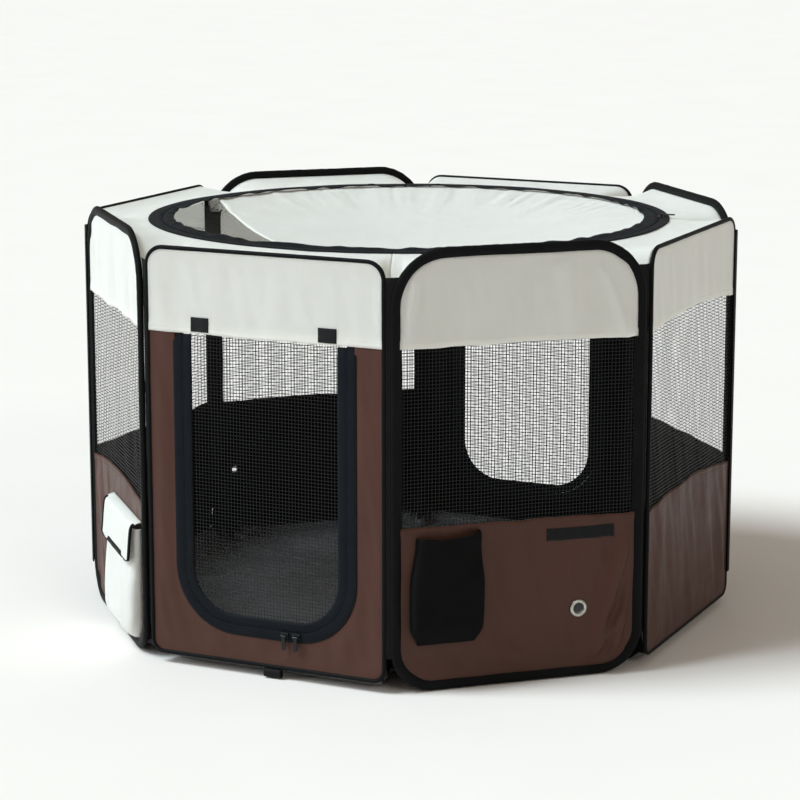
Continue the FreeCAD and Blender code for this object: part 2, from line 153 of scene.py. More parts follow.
class Wall:
    """A wall's own axes in the row frame, from the plan of its wire loop, and its outer sizes."""

    def __init__(self, name):
        self.name, self.body = name, name + "_panel"
        self.index = NAMES.index(name)
        self.wide = name in WIDE
        self.wire = name + "_frame_wire"
        wire = frame["nodes"][self.wire].data.vertices
        plan = np.array([v.co[:2] for v in wire]) / MM
        along = np.linalg.svd(plan - plan.mean(0), full_matrices=False)[2][0]
        outward = np.array((along[1], -along[0]))
        if outward @ plan.mean(0) < 0:
            along, outward = -along, -outward
        spans = [(plan @ axis).min() + (plan @ axis).max() for axis in (along, outward)]
        middle = (along * spans[0] + outward * spans[1]) / 2.0
        self.along, self.outward = Vector((*along, 0)), Vector((*outward, 0))
        self.middle = Vector((*middle, 0))
        self.half = WALL_HALF
        self.low, self.top = (0.0, WIDE_TOP) if self.wide else (THIN_LOW, THIN_TOP)
        self.r_low, self.r_top = (WIDE_R_LOW, WIDE_R_TOP) if self.wide else (THIN_R_LOW, THIN_R_TOP)
        self.edge = BINDING_WIDTH if self.wide else 2.0 * PIPING_R
        self.sewn = self.edge - UNDER
        self.depth = BINDING_HALF if self.wide else PIPING_R
        self.place = Matrix((
            (along[0], -outward[0], 0, middle[0] * MM),
            (along[1], -outward[1], 0, middle[1] * MM),
            (0, 0, 1, 0),
            (0, 0, 0, 1),
        ))

    def world(self, x, out, z):
        return self.middle + self.along * x + self.outward * out + Vector((0, 0, z))

    def top_at(self, x, inset):
        """Height of the wall's outline, moved in by inset, above a place along the wall."""
        return self.top - inset - corner_drop(x, self.half - inset, self.r_top - inset)

    def low_at(self, x, inset):
        return self.low + inset + corner_drop(x, self.half - inset, self.r_low - inset)


def corner_drop(x, half, radius):
    past = np.clip(np.abs(x) - (half - radius), 0.0, radius)
    return radius - np.sqrt(radius * radius - past * past)


WALLS = {name: Wall(name) for name in NAMES}


# ---- Noise and small helpers ----------------------------------------------------------------------
def ripple(x, y, seed, wide, tall):
    """Smooth noise from -1 to 1, with features about wide by tall millimetres."""
    return noise.noise(Vector((x / wide, y / tall, 17.3 * seed + 0.4)))


ripples = np.vectorize(ripple, otypes=[float])


def ramp(value, start, end):
    """0 before start and 1 after end, turning smoothly in between."""
    t = np.clip((value - start) / (end - start), 0.0, 1.0)
    return t * t * (3.0 - 2.0 * t)


def bell(value, centre, width):
    return np.exp(-(((value - centre) / width) ** 2))


def arc(x, z, radius, start, end, count=20):
    angles = np.radians(np.linspace(start, end, count))
    return np.stack([x + radius * np.cos(angles), z + radius * np.sin(angles)], 1)


def points_of(x, y, z):
    """Places from three arrays or numbers, spread to one shape."""
    return np.stack(np.broadcast_arrays(x, y, z), -1)


def upright(line, out=0.0):
    """Flat (x, z) places or directions stood up on a wall."""
    return points_of(line[..., 0], out, line[..., 1])


def rounded_rise(value, length):
    """A quarter round from 0 up to 1."""
    return np.sqrt(np.clip(1.0 - (1.0 - np.minimum(value / length, 1.0)) ** 2, 0.0, 1.0))


def resample(points, count, closed):
    """The same line with count points evenly along it."""
    line = np.vstack([points, points[:1]]) if closed else np.asarray(points)
    length = np.concatenate([[0.0], np.cumsum(np.linalg.norm(np.diff(line, axis=0), axis=1))])
    at = np.linspace(0.0, length[-1], count, endpoint=not closed)
    return np.stack([np.interp(at, length, line[:, k]) for k in range(line.shape[1])], 1)


def sideways(line, closed):
    """Unit directions to the left of a flat line."""
    if closed:
        step = np.roll(line, -1, 0) - np.roll(line, 1, 0)
    else:
        step = np.gradient(line, axis=0)
    step /= np.linalg.norm(step, axis=1)[:, None]
    return np.stack([-step[:, 1], step[:, 0]], 1)


def wall_outline(wall, inset, pitch):
    """Points round a wall's outline (x, z), anticlockwise seen from outside, and the ways in."""
    half, bottom, top = wall.half - inset, wall.low + inset, wall.top - inset
    r_low, r_top = wall.r_low - inset, wall.r_top - inset
    corners = [
        arc(half - r_low, bottom + r_low, r_low, -90, 0),
        arc(half - r_top, top - r_top, r_top, 0, 90),
        arc(r_top - half, top - r_top, r_top, 90, 180),
        arc(r_low - half, bottom + r_low, r_low, 180, 270),
    ]
    around = 4.0 * half + 2.0 * (top - bottom)
    line = resample(np.vstack(corners), int(around / pitch), True)
    return line, sideways(line, True)


def door_line(inset, top, pitch=5.0):
    """The U of a door opening (x, z), from its left top down and round, and the ways in."""
    half, bottom, radius = DOOR_HALF - inset, DOOR_LOW + inset, DOOR_R - inset
    corners = [
        [(-half, top)],
        arc(radius - half, bottom + radius, radius, 180, 270),
        arc(half - radius, bottom + radius, radius, 270, 360),
        [(half, top)],
    ]
    line = np.vstack(corners)
    length = np.linalg.norm(np.diff(line, axis=0), axis=1).sum()
    line = resample(line, int(length / pitch), False)
    return line, sideways(line, False)


# ---- Meshes ---------------------------------------------------------------------------------------
def grid_faces(rows, cols, wrap=False):
    row = np.arange(rows - 1)[:, None] * cols
    col = np.arange(cols if wrap else cols - 1)[None, :]
    after = (col + 1) % cols
    corners = (row + col, row + after, row + cols + after, row + cols + col)
    return np.stack(corners, -1).reshape(-1, 4)


def slab(grid, thick, wrap=False, hole=None):
    """Closed cloth from a grid of middle points: points, faces, and 0 outside or 1 inside.

    The outside is the face towards +out on a wall, and the upper face on the floor and the top.
    thick is one value or a grid of them. wrap joins the last column to the first. hole is the
    (row, column) of a cell that is left open.
    """
    rows, cols = grid.shape[:2]
    if wrap:
        across = np.roll(grid, -1, 1) - np.roll(grid, 1, 1)
    else:
        across = np.gradient(grid, axis=1)
    up = np.gradient(grid, axis=0)
    normal = np.cross(across, up)
    facing = normal.sum((0, 1))
    if facing[np.abs(facing).argmax()] < 0:
        normal = -normal
    size = np.linalg.norm(normal, axis=2, keepdims=True)
    normal = normal / np.maximum(size, 1e-9)
    shift = normal * (np.broadcast_to(thick, (rows, cols))[..., None] / 2.0)
    points = np.vstack([(grid + shift).reshape(-1, 3), (grid - shift).reshape(-1, 3)])
    cell = grid_faces(rows, cols, wrap)
    count = rows * cols
    rims = [(np.arange(cols - 1), np.arange(1, cols))]
    rims.append((rims[0][1] + (rows - 1) * cols, rims[0][0] + (rows - 1) * cols))
    if wrap:
        rims.append((np.array([cols - 1]), np.array([0])))
        rims.append((np.array([count - cols]), np.array([count - 1])))
    else:
        side = np.arange(rows - 1) * cols
        rims += [(side + cols, side), (side + cols - 1, side + 2 * cols - 1)]
    if hole is not None:
        number = hole[0] * (cols - 1) + hole[1]
        a, b, c, d = cell[number]
        cell = np.delete(cell, number, 0)
        rims.append((np.array([b, c, d, a]), np.array([a, b, c, d])))
    rim = np.vstack([np.stack([end, start, start + count, end + count], 1) for start, end in rims])
    faces = np.vstack([cell, cell[:, ::-1] + count, rim])
    inside = np.zeros(len(faces), int)
    inside[len(cell):2 * len(cell)] = 1
    return points, faces, inside


def sweep(path, ways, ups, section, closed):
    """A section carried along a path. section is (stations, points, 2): along ways, along ups."""
    points = path[:, None, :] + ways[:, None, :] * section[..., :1] + ups[:, None, :] * section[..., 1:]
    stations, around = section.shape[:2]
    rows = stations + 1 if closed else stations
    faces = grid_faces(rows, around, True)
    if closed:
        return points.reshape(-1, 3), [list(face) for face in faces % (stations * around)]
    faces = [list(face) for face in faces]
    faces.append(list(range(around))[::-1])
    faces.append([(stations - 1) * around + k for k in range(around)])
    return points.reshape(-1, 3), faces


def spindles(centres, halves, ups, radius):
    """Small pointed bars, as one mesh: stitches, and the teeth of a zip. ups may be one direction."""
    centres, halves, ups = (np.asarray(a, float) for a in (centres, halves, ups))
    sides = np.cross(halves, ups)
    sides /= np.linalg.norm(sides, axis=1)[:, None]
    ring = [centres + way * radius for way in (sides, ups, -sides, -ups)]
    points = np.stack([centres - halves, *ring, centres + halves], 1).reshape(-1, 3)
    pattern = [(0, 2, 1), (0, 3, 2), (0, 4, 3), (0, 1, 4), (5, 1, 2), (5, 2, 3), (5, 3, 4), (5, 4, 1)]
    faces = (np.arange(len(centres))[:, None, None] * 6 + np.array(pattern)).reshape(-1, 3)
    return points, faces


def merge(*meshes):
    """Several (points, faces) as one."""
    points, faces, count = [], [], 0
    for some_points, some_faces in meshes:
        points.append(some_points)
        faces += [[count + k for k in face] for face in some_faces]
        count += len(some_points)
    return np.vstack(points), faces


def make(name, mesh_data, materials, body=None, wall=None, weld=False):
    """A named piece from millimetre points, on a wall's axes if one is given, riding on a body."""
    points, faces = mesh_data[:2]
    points = np.asarray(points, float) * MM
    if wall is not None:
        points[:, 1] *= -1.0
    mesh = bpy.data.meshes.new(name)
    mesh.from_pydata(points.tolist(), [], [list(map(int, face)) for face in faces])
    for material in materials:
        mesh.materials.append(material)
    if len(mesh_data) > 2:
        mesh.polygons.foreach_set("material_index", np.minimum(mesh_data[2], len(materials) - 1))
    mesh.polygons.foreach_set("use_smooth", [True] * len(faces))
    work = bmesh.new()
    work.from_mesh(mesh)
    if weld:
        bmesh.ops.remove_doubles(work, verts=work.verts, dist=1e-6)
    bmesh.ops.recalc_face_normals(work, faces=work.faces)
    work.to_mesh(mesh)
    work.free()
    mesh.update()
    obj = bpy.data.objects.new(name, mesh)
    bpy.context.scene.collection.objects.link(obj)
    if wall is not None:
        obj.matrix_world = wall.place
    if wall is not None or body is not None:
        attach(obj, body or wall.body)
    return obj


# ---- Materials ------------------------------------------------------------------------------------
class Nodes:
    """A material's node tree, with the texture coordinates that all of its patterns use."""

    def __init__(self, name):
        self.material = bpy.data.materials.new(name)
        self.material.use_nodes = True
        self.tree = self.material.node_tree
        self.shader = self.tree.nodes["Principled BSDF"]
        self.place = self.add("ShaderNodeTexCoord").outputs["Object"]

    def add(self, kind, **settings):
        node = self.tree.nodes.new(kind)
        for key, value in settings.items():
            setattr(node, key, value)
        return node

    def link(self, output, socket):
        self.tree.links.new(output, socket)

    def finished(self, tone, rough, normal, values):
        """The material, with its patterns linked to its shader. None leaves an input alone."""
        inputs = self.shader.inputs
        for output, key in ((tone, "Base Color"), (rough, "Roughness"), (normal, "Normal")):
            if output is not None:
                self.link(output, inputs[key])
        for key, value in values.items():
            inputs[key].default_value = value
        return self.material

    def noise(self, scale, detail=3.0, roughness=0.55):
        node = self.add("ShaderNodeTexNoise")
        self.link(self.place, node.inputs["Vector"])
        node.inputs["Scale"].default_value = scale
        node.inputs["Detail"].default_value = detail
        node.inputs["Roughness"].default_value = roughness
        return node.outputs["Fac"]

    def wave(self, direction, pitch_mm, distortion=0.0):
        """Stripes with a pitch in millimetres."""
        node = self.add("ShaderNodeTexWave", bands_direction=direction)
        self.link(self.place, node.inputs["Vector"])
        node.inputs["Scale"].default_value = math.pi / (10.0 * pitch_mm * MM)
        node.inputs["Distortion"].default_value = distortion
        return node.outputs["Fac"]

    def math(self, operation, a, b):
        node = self.add("ShaderNodeMath", operation=operation)
        for socket, value in zip(node.inputs, (a, b)):
            if isinstance(value, float):
                socket.default_value = value
            else:
                self.link(value, socket)
        return node.outputs[0]

    def spread(self, value, low_value, high_value, start=0.3, end=0.7):
        """A 0 to 1 pattern carried to a range of values."""
        node = self.add("ShaderNodeMapRange")
        self.link(value, node.inputs["Value"])
        keys = ("From Min", "From Max", "To Min", "To Max")
        for key, number in zip(keys, (start, end, low_value, high_value)):
            node.inputs[key].default_value = number
        return node.outputs["Result"]

    def blend(self, factor, colour_a, colour_b):
        node = self.add("ShaderNodeMix", data_type="RGBA")
        self.link(factor, node.inputs[0])
        for socket, colour in ((node.inputs[6], colour_a), (node.inputs[7], colour_b)):
            if isinstance(colour, tuple):
                socket.default_value = (*colour, 1.0)
            else:
                self.link(colour, socket)
        return node.outputs[2]

    def bump(self, height, distance_mm, strength=1.0, under=None):
        node = self.add("ShaderNodeBump")
        node.inputs["Strength"].default_value = strength
        node.inputs["Distance"].default_value = distance_mm * MM
        self.link(height, node.inputs["Height"])
        if under is not None:
            self.link(under, node.inputs["Normal"])
        return node.outputs["Normal"]


def shade_of(colour, factor):
    return tuple(min(1.0, c * factor) for c in colour)


YARN = 0.55  # spacing of the yarns in the woven cloths


def fabric(name, colour, roughness, sheen, flat_cloth=False, contrast=0.12, worn=1.12,
           shine=0.3, crease=1.6, thin=0.0):
    """Woven cloth: crossing yarns, fine slubs, soft creases, and blotches of wear and dust."""
    nodes = Nodes(name)
    yarn_ways = ("X", "Y" if flat_cloth else "Z")
    weave = nodes.math("MULTIPLY", *(nodes.wave(way, YARN, 0.4) for way in yarn_ways))
    slubs = nodes.noise(900.0, 2.0)
    blotches = nodes.spread(nodes.noise(7.0, 4.0, 0.6), 0.0, 1.0)
    dark, light = shade_of(colour, 1.0 - contrast), shade_of(colour, 1.0 + contrast * 0.6)
    yarns = nodes.spread(nodes.math("ADD", weave, slubs), 0.0, 0.3, 0.3, 1.3)
    tone = nodes.blend(yarns, nodes.blend(blotches, dark, light), shade_of(colour, worn))
    rough = nodes.spread(nodes.noise(30.0, 3.0), roughness - 0.06, roughness + 0.08)
    creases = nodes.bump(nodes.noise(20.0, 5.0, 0.5), crease, 0.5)
    values = {"Sheen Weight": sheen, "Sheen Roughness": 0.5, "Specular IOR Level": shine}
    if thin:
        values.update({"Subsurface Weight": thin, "Subsurface Radius": (1.0, 1.0, 0.95),
                       "Subsurface Scale": 0.008})
    return nodes.finished(tone, rough, nodes.bump(weave, 0.12, 0.5, creases), values)


def ribbed(name, colour, direction, pitch, roughness=0.5, sheen=0.5, ribs=0.3, shine=0.14):
    """Narrow woven tape, webbing or binding: ribs one way, with a soft sheen."""
    nodes = Nodes(name)
    rib = nodes.wave(direction, pitch, 0.6)
    fuzz = nodes.noise(420.0, 3.0)
    wear = nodes.spread(nodes.noise(22.0, 4.0), 0.0, 1.0)
    tone = nodes.blend(wear, shade_of(colour, 0.75), shade_of(colour, 1.35))
    tone = nodes.blend(nodes.spread(rib, 0.0, 0.35, 0.0, 1.0), tone, shade_of(colour, 1.7))
    rough = nodes.spread(fuzz, roughness - 0.08, roughness + 0.1)
    soft = nodes.bump(nodes.noise(70.0, 4.0), 1.2, 0.4)
    return nodes.finished(tone, rough, nodes.bump(rib, ribs, 0.6, soft), {
        "Sheen Weight": sheen, "Sheen Roughness": 0.4, "Specular IOR Level": shine})


def napped(name, colour):
    """Hook-and-loop tape: a dense nap of tiny loops."""
    nodes = Nodes(name)
    cells = nodes.add("ShaderNodeTexVoronoi")
    nodes.link(nodes.place, cells.inputs["Vector"])
    cells.inputs["Scale"].default_value = 900.0
    loops = cells.outputs["Distance"]
    tone = nodes.blend(nodes.spread(loops, 0.0, 1.0, 0.0, 0.7), shade_of(colour, 1.8), shade_of(colour, 0.6))
    tufts = nodes.bump(nodes.noise(160.0, 4.0), 0.8, 0.5)
    return nodes.finished(tone, None, nodes.bump(loops, 0.5, 0.8, tufts), {
        "Roughness": 0.85, "Sheen Weight": 0.06, "Sheen Roughness": 0.6, "Specular IOR Level": 0.2})


def metal(name, colour, roughness, scratches=0.12):
    """Plated or enamelled metal with a hazy, slightly scratched surface."""
    nodes = Nodes(name)
    haze = nodes.noise(180.0, 5.0, 0.65)
    tone = nodes.blend(nodes.spread(haze, 0.0, 1.0), shade_of(colour, 0.75), shade_of(colour, 1.15))
    rough = nodes.spread(nodes.noise(60.0, 4.0), roughness - scratches, roughness + scratches)
    return nodes.finished(tone, rough, nodes.bump(haze, 0.08, 0.4), {"Metallic": 1.0})


def netting(name, colour):
    """Plastic-coated thread of the open netting."""
    nodes = Nodes(name)
    twist = nodes.noise(1400.0, 2.0)
    tone = nodes.blend(nodes.spread(twist, 0.0, 1.0), shade_of(colour, 0.6), shade_of(colour, 1.8))
    rough = nodes.spread(twist, 0.35, 0.6)
    return nodes.finished(tone, rough, nodes.bump(twist, 0.2, 0.6), {"Specular IOR Level": 0.25})


def coated(name, colour):
    """Dark coated floor cloth, with a dull gloss that changes from fold to fold."""
    nodes = Nodes(name)
    weave = nodes.math("MULTIPLY", nodes.wave("X", 0.8, 0.3), nodes.wave("Y", 0.8, 0.3))
    blotches = nodes.spread(nodes.noise(9.0, 5.0, 0.6), 0.0, 1.0)
    tone = nodes.blend(blotches, shade_of(colour, 0.7), shade_of(colour, 1.3))
    rough = nodes.spread(nodes.noise(16.0, 4.0), 0.30, 0.5)
    creases = nodes.bump(nodes.noise(18.0, 6.0, 0.6), 3.0, 0.5)
    return nodes.finished(tone, rough, nodes.bump(weave, 0.15, 0.4, creases), {
        "Specular IOR Level": 0.5, "Sheen Weight": 0.2})


CREAM = (0.85, 0.83, 0.735)
CREAM_CLOTH = fabric("cream_cloth", CREAM, 0.7, 0.1, contrast=0.05, worn=1.04, thin=0.9)
CREAM_TOP = fabric("cream_cloth_top", CREAM, 0.7, 0.1, flat_cloth=True, contrast=0.05, worn=1.04, thin=0.9)
BROWN_CLOTH = fabric("brown_cloth", (0.068, 0.028, 0.020), 0.40, 0.01, shine=0.18, crease=4.0)
BLACK_LINING = fabric("black_lining", (0.003, 0.003, 0.003), 0.8, 0.0, contrast=0.3, shine=0.08)
BLACK_CLOTH = fabric("black_cloth", (0.003, 0.003, 0.0033), 0.6, 0.01, contrast=0.3, shine=0.06, crease=3.0)
BINDING_TAPE = ribbed("binding_tape", (0.004, 0.004, 0.0045), "Z", 1.3, 0.55, 0.02, 0.2, 0.07)
ZIP_TAPE = ribbed("zip_tape", (0.0035, 0.005, 0.0075), "X", 0.9, 0.6, 0.02, 0.15, 0.1)
ZIP_COIL = ribbed("zip_coil", (0.008, 0.011, 0.017), "Z", 1.6, 0.38, 0.02, 0.05)
WEBBING = ribbed("webbing", (0.004, 0.004, 0.0045), "X", 2.2, 0.6, 0.04)
HOOK_TAPE = napped("hook_tape", (0.004, 0.0045, 0.006))
NET = netting("netting", (0.004, 0.004, 0.0045))
FLOOR_CLOTH = coated("floor_cloth", (0.060, 0.060, 0.066))
NICKEL = metal("eyelet_nickel", (0.50, 0.49, 0.45), 0.38)
ENAMEL = metal("zip_enamel", (0.035, 0.035, 0.037), 0.36)
SPRING_STEEL = metal("spring_steel", (0.45, 0.45, 0.46), 0.3)
BLACK_THREAD = ribbed("black_thread", (0.014, 0.014, 0.015), "X", 0.5, 0.55, 0.2, 0.1)
CREAM_THREAD = ribbed("cream_thread", (0.62, 0.62, 0.58), "X", 0.5, 0.6, 0.2, 0.1)
BROWN_THREAD = ribbed("brown_thread", (0.05, 0.028, 0.022), "X", 0.5, 0.6, 0.2, 0.1)


# ---- How each wall's cloth hangs ------------------------------------------------------------------
LOOSE = {"front": 2.2, "front_right": 5.2, "front_left": 4.2, "right": 3.6}  # depth of its folds
CREASES = {  # sharper folds in the lower cloth: from (x, z) to (x, z), width and depth
    "front_right": ((163, 205, 112, 40, 9, 12.0), (172, 150, 138, 24, 7, 11.0), (150, 80, 100, 18, 8, 8.0),
                    (-40, 60, 20, 14, 12, 4.0), (118, 585, 158, 478, 8, 8.0), (60, 590, 75, 500, 14, 5.0),
                    (-150, 570, -166, 478, 8, 6.0)),
    "front_left": ((-150, 205, -60, 20, 12, 3.5), (-90, 225, -30, 120, 9, 2.5)),
    "right": ((-120, 215, -150, 30, 14, 2.5), (60, 225, 120, 40, 16, 2.0)),
    "back_right": ((-90, 200, -130, 30, 12, 3.0),),
    "back_left": ((40, 210, 110, 25, 12, 3.0),),
    "left": ((-60, 220, -110, 40, 14, 2.5),),
}
LAID_FLAT = {  # where a pocket or pouch is sewn on and keeps the cloth flat: x from, to, z from, to
    "front_right": (-160.0, -52.0, 62.0, 218.0),
    "front_left": (-28.0, 175.0, 15.0, 245.0),
}


def hang(wall, x, z):
    """How far a wall's cloth stands out at (x, z), in millimetres: nothing where it is sewn down."""
    seed = wall.index + 1
    depth = LOOSE.get(wall.name, 1.5)
    side = ramp(wall.half - wall.edge - np.abs(x), 0.0, 16.0)
    ends = ramp(wall.top - wall.edge - z, 0.0, 26.0) * ramp(z - wall.low - wall.edge, 0.0, 24.0)
    folds = ripples(x, z, seed, 34.0, 420.0) + 0.45 * ripples(x + 0.25 * z, z, seed + 20, 15.0, 210.0)
    out = depth * folds
    for x0, z0, x1, z1, width, height in CREASES.get(wall.name, ()):
        run = math.hypot(x1 - x0, z1 - z0)
        along = ((x - x0) * (x1 - x0) + (z - z0) * (z1 - z0)) / run
        off = ((x - x0) * (z1 - z0) - (z - z0) * (x1 - x0)) / run
        out = out + height * bell(off, 0.0, width) * ramp(along, -20.0, 25.0) * ramp(run - along, -20.0, 25.0)
    if wall.name in LAID_FLAT:
        x_from, x_to, z_from, z_to = LAID_FLAT[wall.name]
        across = ramp(x, x_from - 16.0, x_from) * (1.0 - ramp(x, x_to, x_to + 16.0))
        out = out * (1.0 - across * ramp(z, z_from - 16.0, z_from) * (1.0 - ramp(z, z_to, z_to + 12.0)))
    return out * side * ends


# ---- Wall edges -----------------------------------------------------------------------------------
def binding_section(stations, seed, length):
    """A padded sleeve's section at each station: how far in from the outer edge, how far out."""
    across = np.array([0.0, 0.6, 2.0, 4.2, 7.0, 9.5, 11.8, 13.6, 14.8, 16.4])
    half = BINDING_HALF * np.array([0.0, 0.42, 0.78, 0.97, 1.0, 0.93, 0.74, 0.46, 0.34, 0.3])
    ins = np.concatenate([across, across[:0:-1]])
    outs = np.concatenate([half, -half[:0:-1]])
    at = np.arange(stations) * (length / stations)
    swell = np.array([ripple(s, 0.0, seed, 60.0, 1.0) for s in at])
    pucker = np.array([ripple(s, 9.0, seed, 9.0, 1.0) for s in at])
    pad = bell(ins, 9.0, 5.0)
    width = ins[None, :] * (1.0 + 0.07 * swell[:, None]) - 0.5 * pucker[:, None] * bell(ins, 0.0, 3.0)
    lift = outs[None, :] * (0.96 + 0.10 * swell[:, None] + 0.10 * pucker[:, None] * pad)
    join = bell(at, 92.0, 7.0)[:, None]  # where the two ends of the tape lap over each other
    return np.stack([width - 0.8 * join, lift * (1.0 + 0.22 * join)], -1)


def add_edge(wall):
    """The sleeve round a wall, and the row of stitches that holds it to the cloth."""
    line, ways = wall_outline(wall, 0.0 if wall.wide else PIPING_R, EDGE_PITCH)
    seed = wall.index + 3
    if wall.wide:
        section = binding_section(len(line), seed, len(line) * EDGE_PITCH)
        name, inset = wall.name + "_binding", BINDING_WIDTH - 2.6
    else:
        angles = np.radians(np.arange(0, 360, 30))
        circle = np.stack([np.cos(angles), np.sin(angles)], -1) * PIPING_R
        swell = np.array([ripple(EDGE_PITCH * k, 0.0, seed, 30.0, 1.0) for k in range(len(line))])
        section = circle[None] * (0.98 + 0.06 * swell[:, None, None])
        name, inset = wall.name + "_piping", 2.0 * PIPING_R + 1.8
    path, ways = upright(line), upright(ways)
    ups = np.broadcast_to(OUTWARDS, path.shape)
    sleeve = make(name + "_cloth", sweep(path, ways, ups, section, True), [BINDING_TAPE],
                  wall=wall)
    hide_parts(name)
    if wall.wide:
        rows = [edge_stitches(wall, inset, out, wall.low, wall.top) for out in (1.75, -1.75)]
        make(wall.name + "_edge_stitching", merge(*rows), [BLACK_THREAD], wall=wall)
        return
    upper = edge_stitches(wall, inset, 1.95, VALANCE_LOW, wall.top)
    make(wall.name + "_upper_edge_stitching", upper, [CREAM_THREAD], wall=wall)
    lower = edge_stitches(wall, inset, 0.9 if wall.name in DOORS else 1.95, wall.low, LOWER_TOP)
    make(wall.name + "_lower_edge_stitching", lower, [BROWN_THREAD], wall=wall)


def edge_stitches(wall, inset, out, z_from, z_to):
    line, ways = wall_outline(wall, inset, 4.6)
    shown = (line[:, 1] > z_from) & (line[:, 1] < z_to)
    line, ways = line[shown], ways[shown]
    step = np.stack([ways[:, 1], -ways[:, 0]], 1)
    return spindles(upright(line, out), upright(step) * 1.6, OUTWARDS, STITCH_R)


# ---- Cloth of the walls ---------------------------------------------------------------------------
def columns(half, count):
    """Places along a wall, closer together towards its ends."""
    t = np.linspace(-1.0, 1.0, count)
    return half * (0.75 * t + 0.25 * np.sin(t * math.pi / 2.0))


def stitch_line(points, outs, length=3.0, pitch=4.4, radius=STITCH_R):
    """Stitches along a line of (x, z) points on a wall, outs in front of its middle."""
    full = upright(points, outs)
    run = np.linalg.norm(np.diff(full, axis=0), axis=1).sum()
    centres = resample(full, max(3, int(run / pitch)), False)
    step = np.gradient(centres, axis=0)
    step /= np.linalg.norm(step, axis=1)[:, None]
    ups = np.cross(step, UPWARDS)
    standing = np.linalg.norm(ups, axis=1) < 0.5
    ups[standing] = np.cross(step[standing], (1.0, 0.0, 0.0))
    ups /= np.linalg.norm(ups, axis=1)[:, None]
    return spindles(centres, step * (length / 2.0), ups, radius)


BOW = {"right": 12.0}  # how far a valance's lower edge is drawn up in its middle
CREST = {"front_left": 14.0, "right": 14.0}  # how far a lower panel's upper edge rises


def valance_edge(wall, x):
    wave = 1.5 * ripples(x, 0.0, wall.index + 40, 60.0, 1.0)
    return VALANCE_LOW + wave + BOW.get(wall.name, 0.0) * np.cos(x / wall.half * math.pi / 2.0)


def lower_edge(wall, x):
    wave = 3.0 * ripples(x, 0.0, wall.index + 50, 70.0, 1.0)
    return LOWER_TOP + wave + CREST.get(wall.name, 0.0) * (np.cos(x / wall.half * math.pi / 2.0) - 0.5)


def hem_stitches(wall, suffix, x, z, thread):
    outs = SHEET_OUT + hang(wall, x, z) + 1.1
    rows = stitch_line(np.stack([x, z], 1), outs)
    make(wall.name + suffix, rows, [thread], wall=wall)


def add_valance(wall):
    x = columns(wall.half - wall.sewn, 64)
    share = np.linspace(0.0, 1.0, 26)[:, None]
    bottom, top = valance_edge(wall, x), wall.top_at(x, wall.sewn)
    z = bottom + (top - bottom) * share ** 1.15
    hem = 1.0 - ramp(z - bottom, *HEM)
    grid = points_of(x, SHEET_OUT + hang(wall, x, z), z)
    cloth = make(wall.name + "_valance_cloth", slab(grid, CLOTH + HEM_THICK * hem), [CREAM_CLOTH],
                 wall=wall)
    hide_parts(wall.name + "_valance")
    hem_stitches(wall, "_valance_stitching", x, bottom + HEM_STITCH, CREAM_THREAD)


HOLES = {"front_right": (89.0, 98.0, 1.0), "back_left": (150.0, 112.0, 0.5)}  # eyelets: x, z and size
HOLE_R = 11.5


def opened(x, z, centre):
    """Points pushed away from an eyelet's middle, to leave room for its barrel."""
    away = np.hypot(x - centre[0], z - centre[1])
    pushed = (away ** 4 + (HOLE_R * centre[2]) ** 4) ** 0.25
    factor = pushed / np.maximum(away, 1e-3)
    return centre[0] + (x - centre[0]) * factor, centre[1] + (z - centre[1]) * factor


def pierced(xs, z, centre):
    """A panel's places opened round an eyelet, and the (row, column) of the cell left open."""
    x = xs[0]
    col = int(np.searchsorted(x, centre[0])) - 1
    row = int(np.searchsorted(z[:, col], centre[1])) - 1
    cell = (slice(row, row + 2), slice(col, col + 2))
    middle = (xs[cell].mean(), z[cell].mean())
    xs, z = xs + (centre[0] - middle[0]), z + (centre[1] - middle[1]) * bell(z, centre[1], 60.0)
    xs, z = opened(np.clip(xs, x[0], x[-1]), z, centre)
    return xs, z, (row, col)


def add_lower_panel(wall):
    x = columns(wall.half - wall.sewn, 66)
    share = np.linspace(0.0, 1.0, 40)[:, None]
    bottom, top = wall.low_at(x, wall.sewn), lower_edge(wall, x)
    z = bottom + (top - bottom) * share
    xs, hole = np.broadcast_to(x, z.shape), None
    if wall.name in HOLES:
        xs, z, hole = pierced(xs, z, HOLES[wall.name])
    hem = ramp(z - top, -HEM[1], -HEM[0])
    grid = points_of(xs, SHEET_OUT + hang(wall, xs, z), z)
    cloth = make(wall.name + "_lower_cloth", slab(grid, CLOTH + HEM_THICK * hem, hole=hole),
                 [BROWN_CLOTH, BLACK_LINING], wall=wall)
    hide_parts(wall.name + "_lower_panel")
    hem_stitches(wall, "_lower_stitching", x, top - HEM_STITCH, BROWN_THREAD)


def net(x_from, x_to, y_from, y_to, inside=None):
    """Open netting as flat threads with square holes: points (x, y) and faces."""
    lines = []
    for start, end in ((x_from, x_to), (y_from, y_to)):
        count = int((end - start) / NET_PITCH)
        middle = start + (end - start - count * NET_PITCH) / 2.0 + np.arange(count + 1) * NET_PITCH
        lines.append(np.stack([middle - NET_THREAD / 2.0, middle + NET_THREAD / 2.0], 1).ravel())
    xs, ys = np.meshgrid(*lines)
    rows, cols = xs.shape
    faces = grid_faces(rows, cols)
    row, col = np.divmod(np.arange(len(faces)), cols - 1)
    keep = (row % 2 == 0) | (col % 2 == 0)
    points = np.stack([xs.ravel(), ys.ravel()], 1)
    if inside is not None:
        keep &= inside(*points[faces].mean(1).T)
    faces = faces[keep]
    used = np.unique(faces)
    number = np.zeros(len(points), int)
    number[used] = np.arange(len(used))
    return points[used], number[faces]


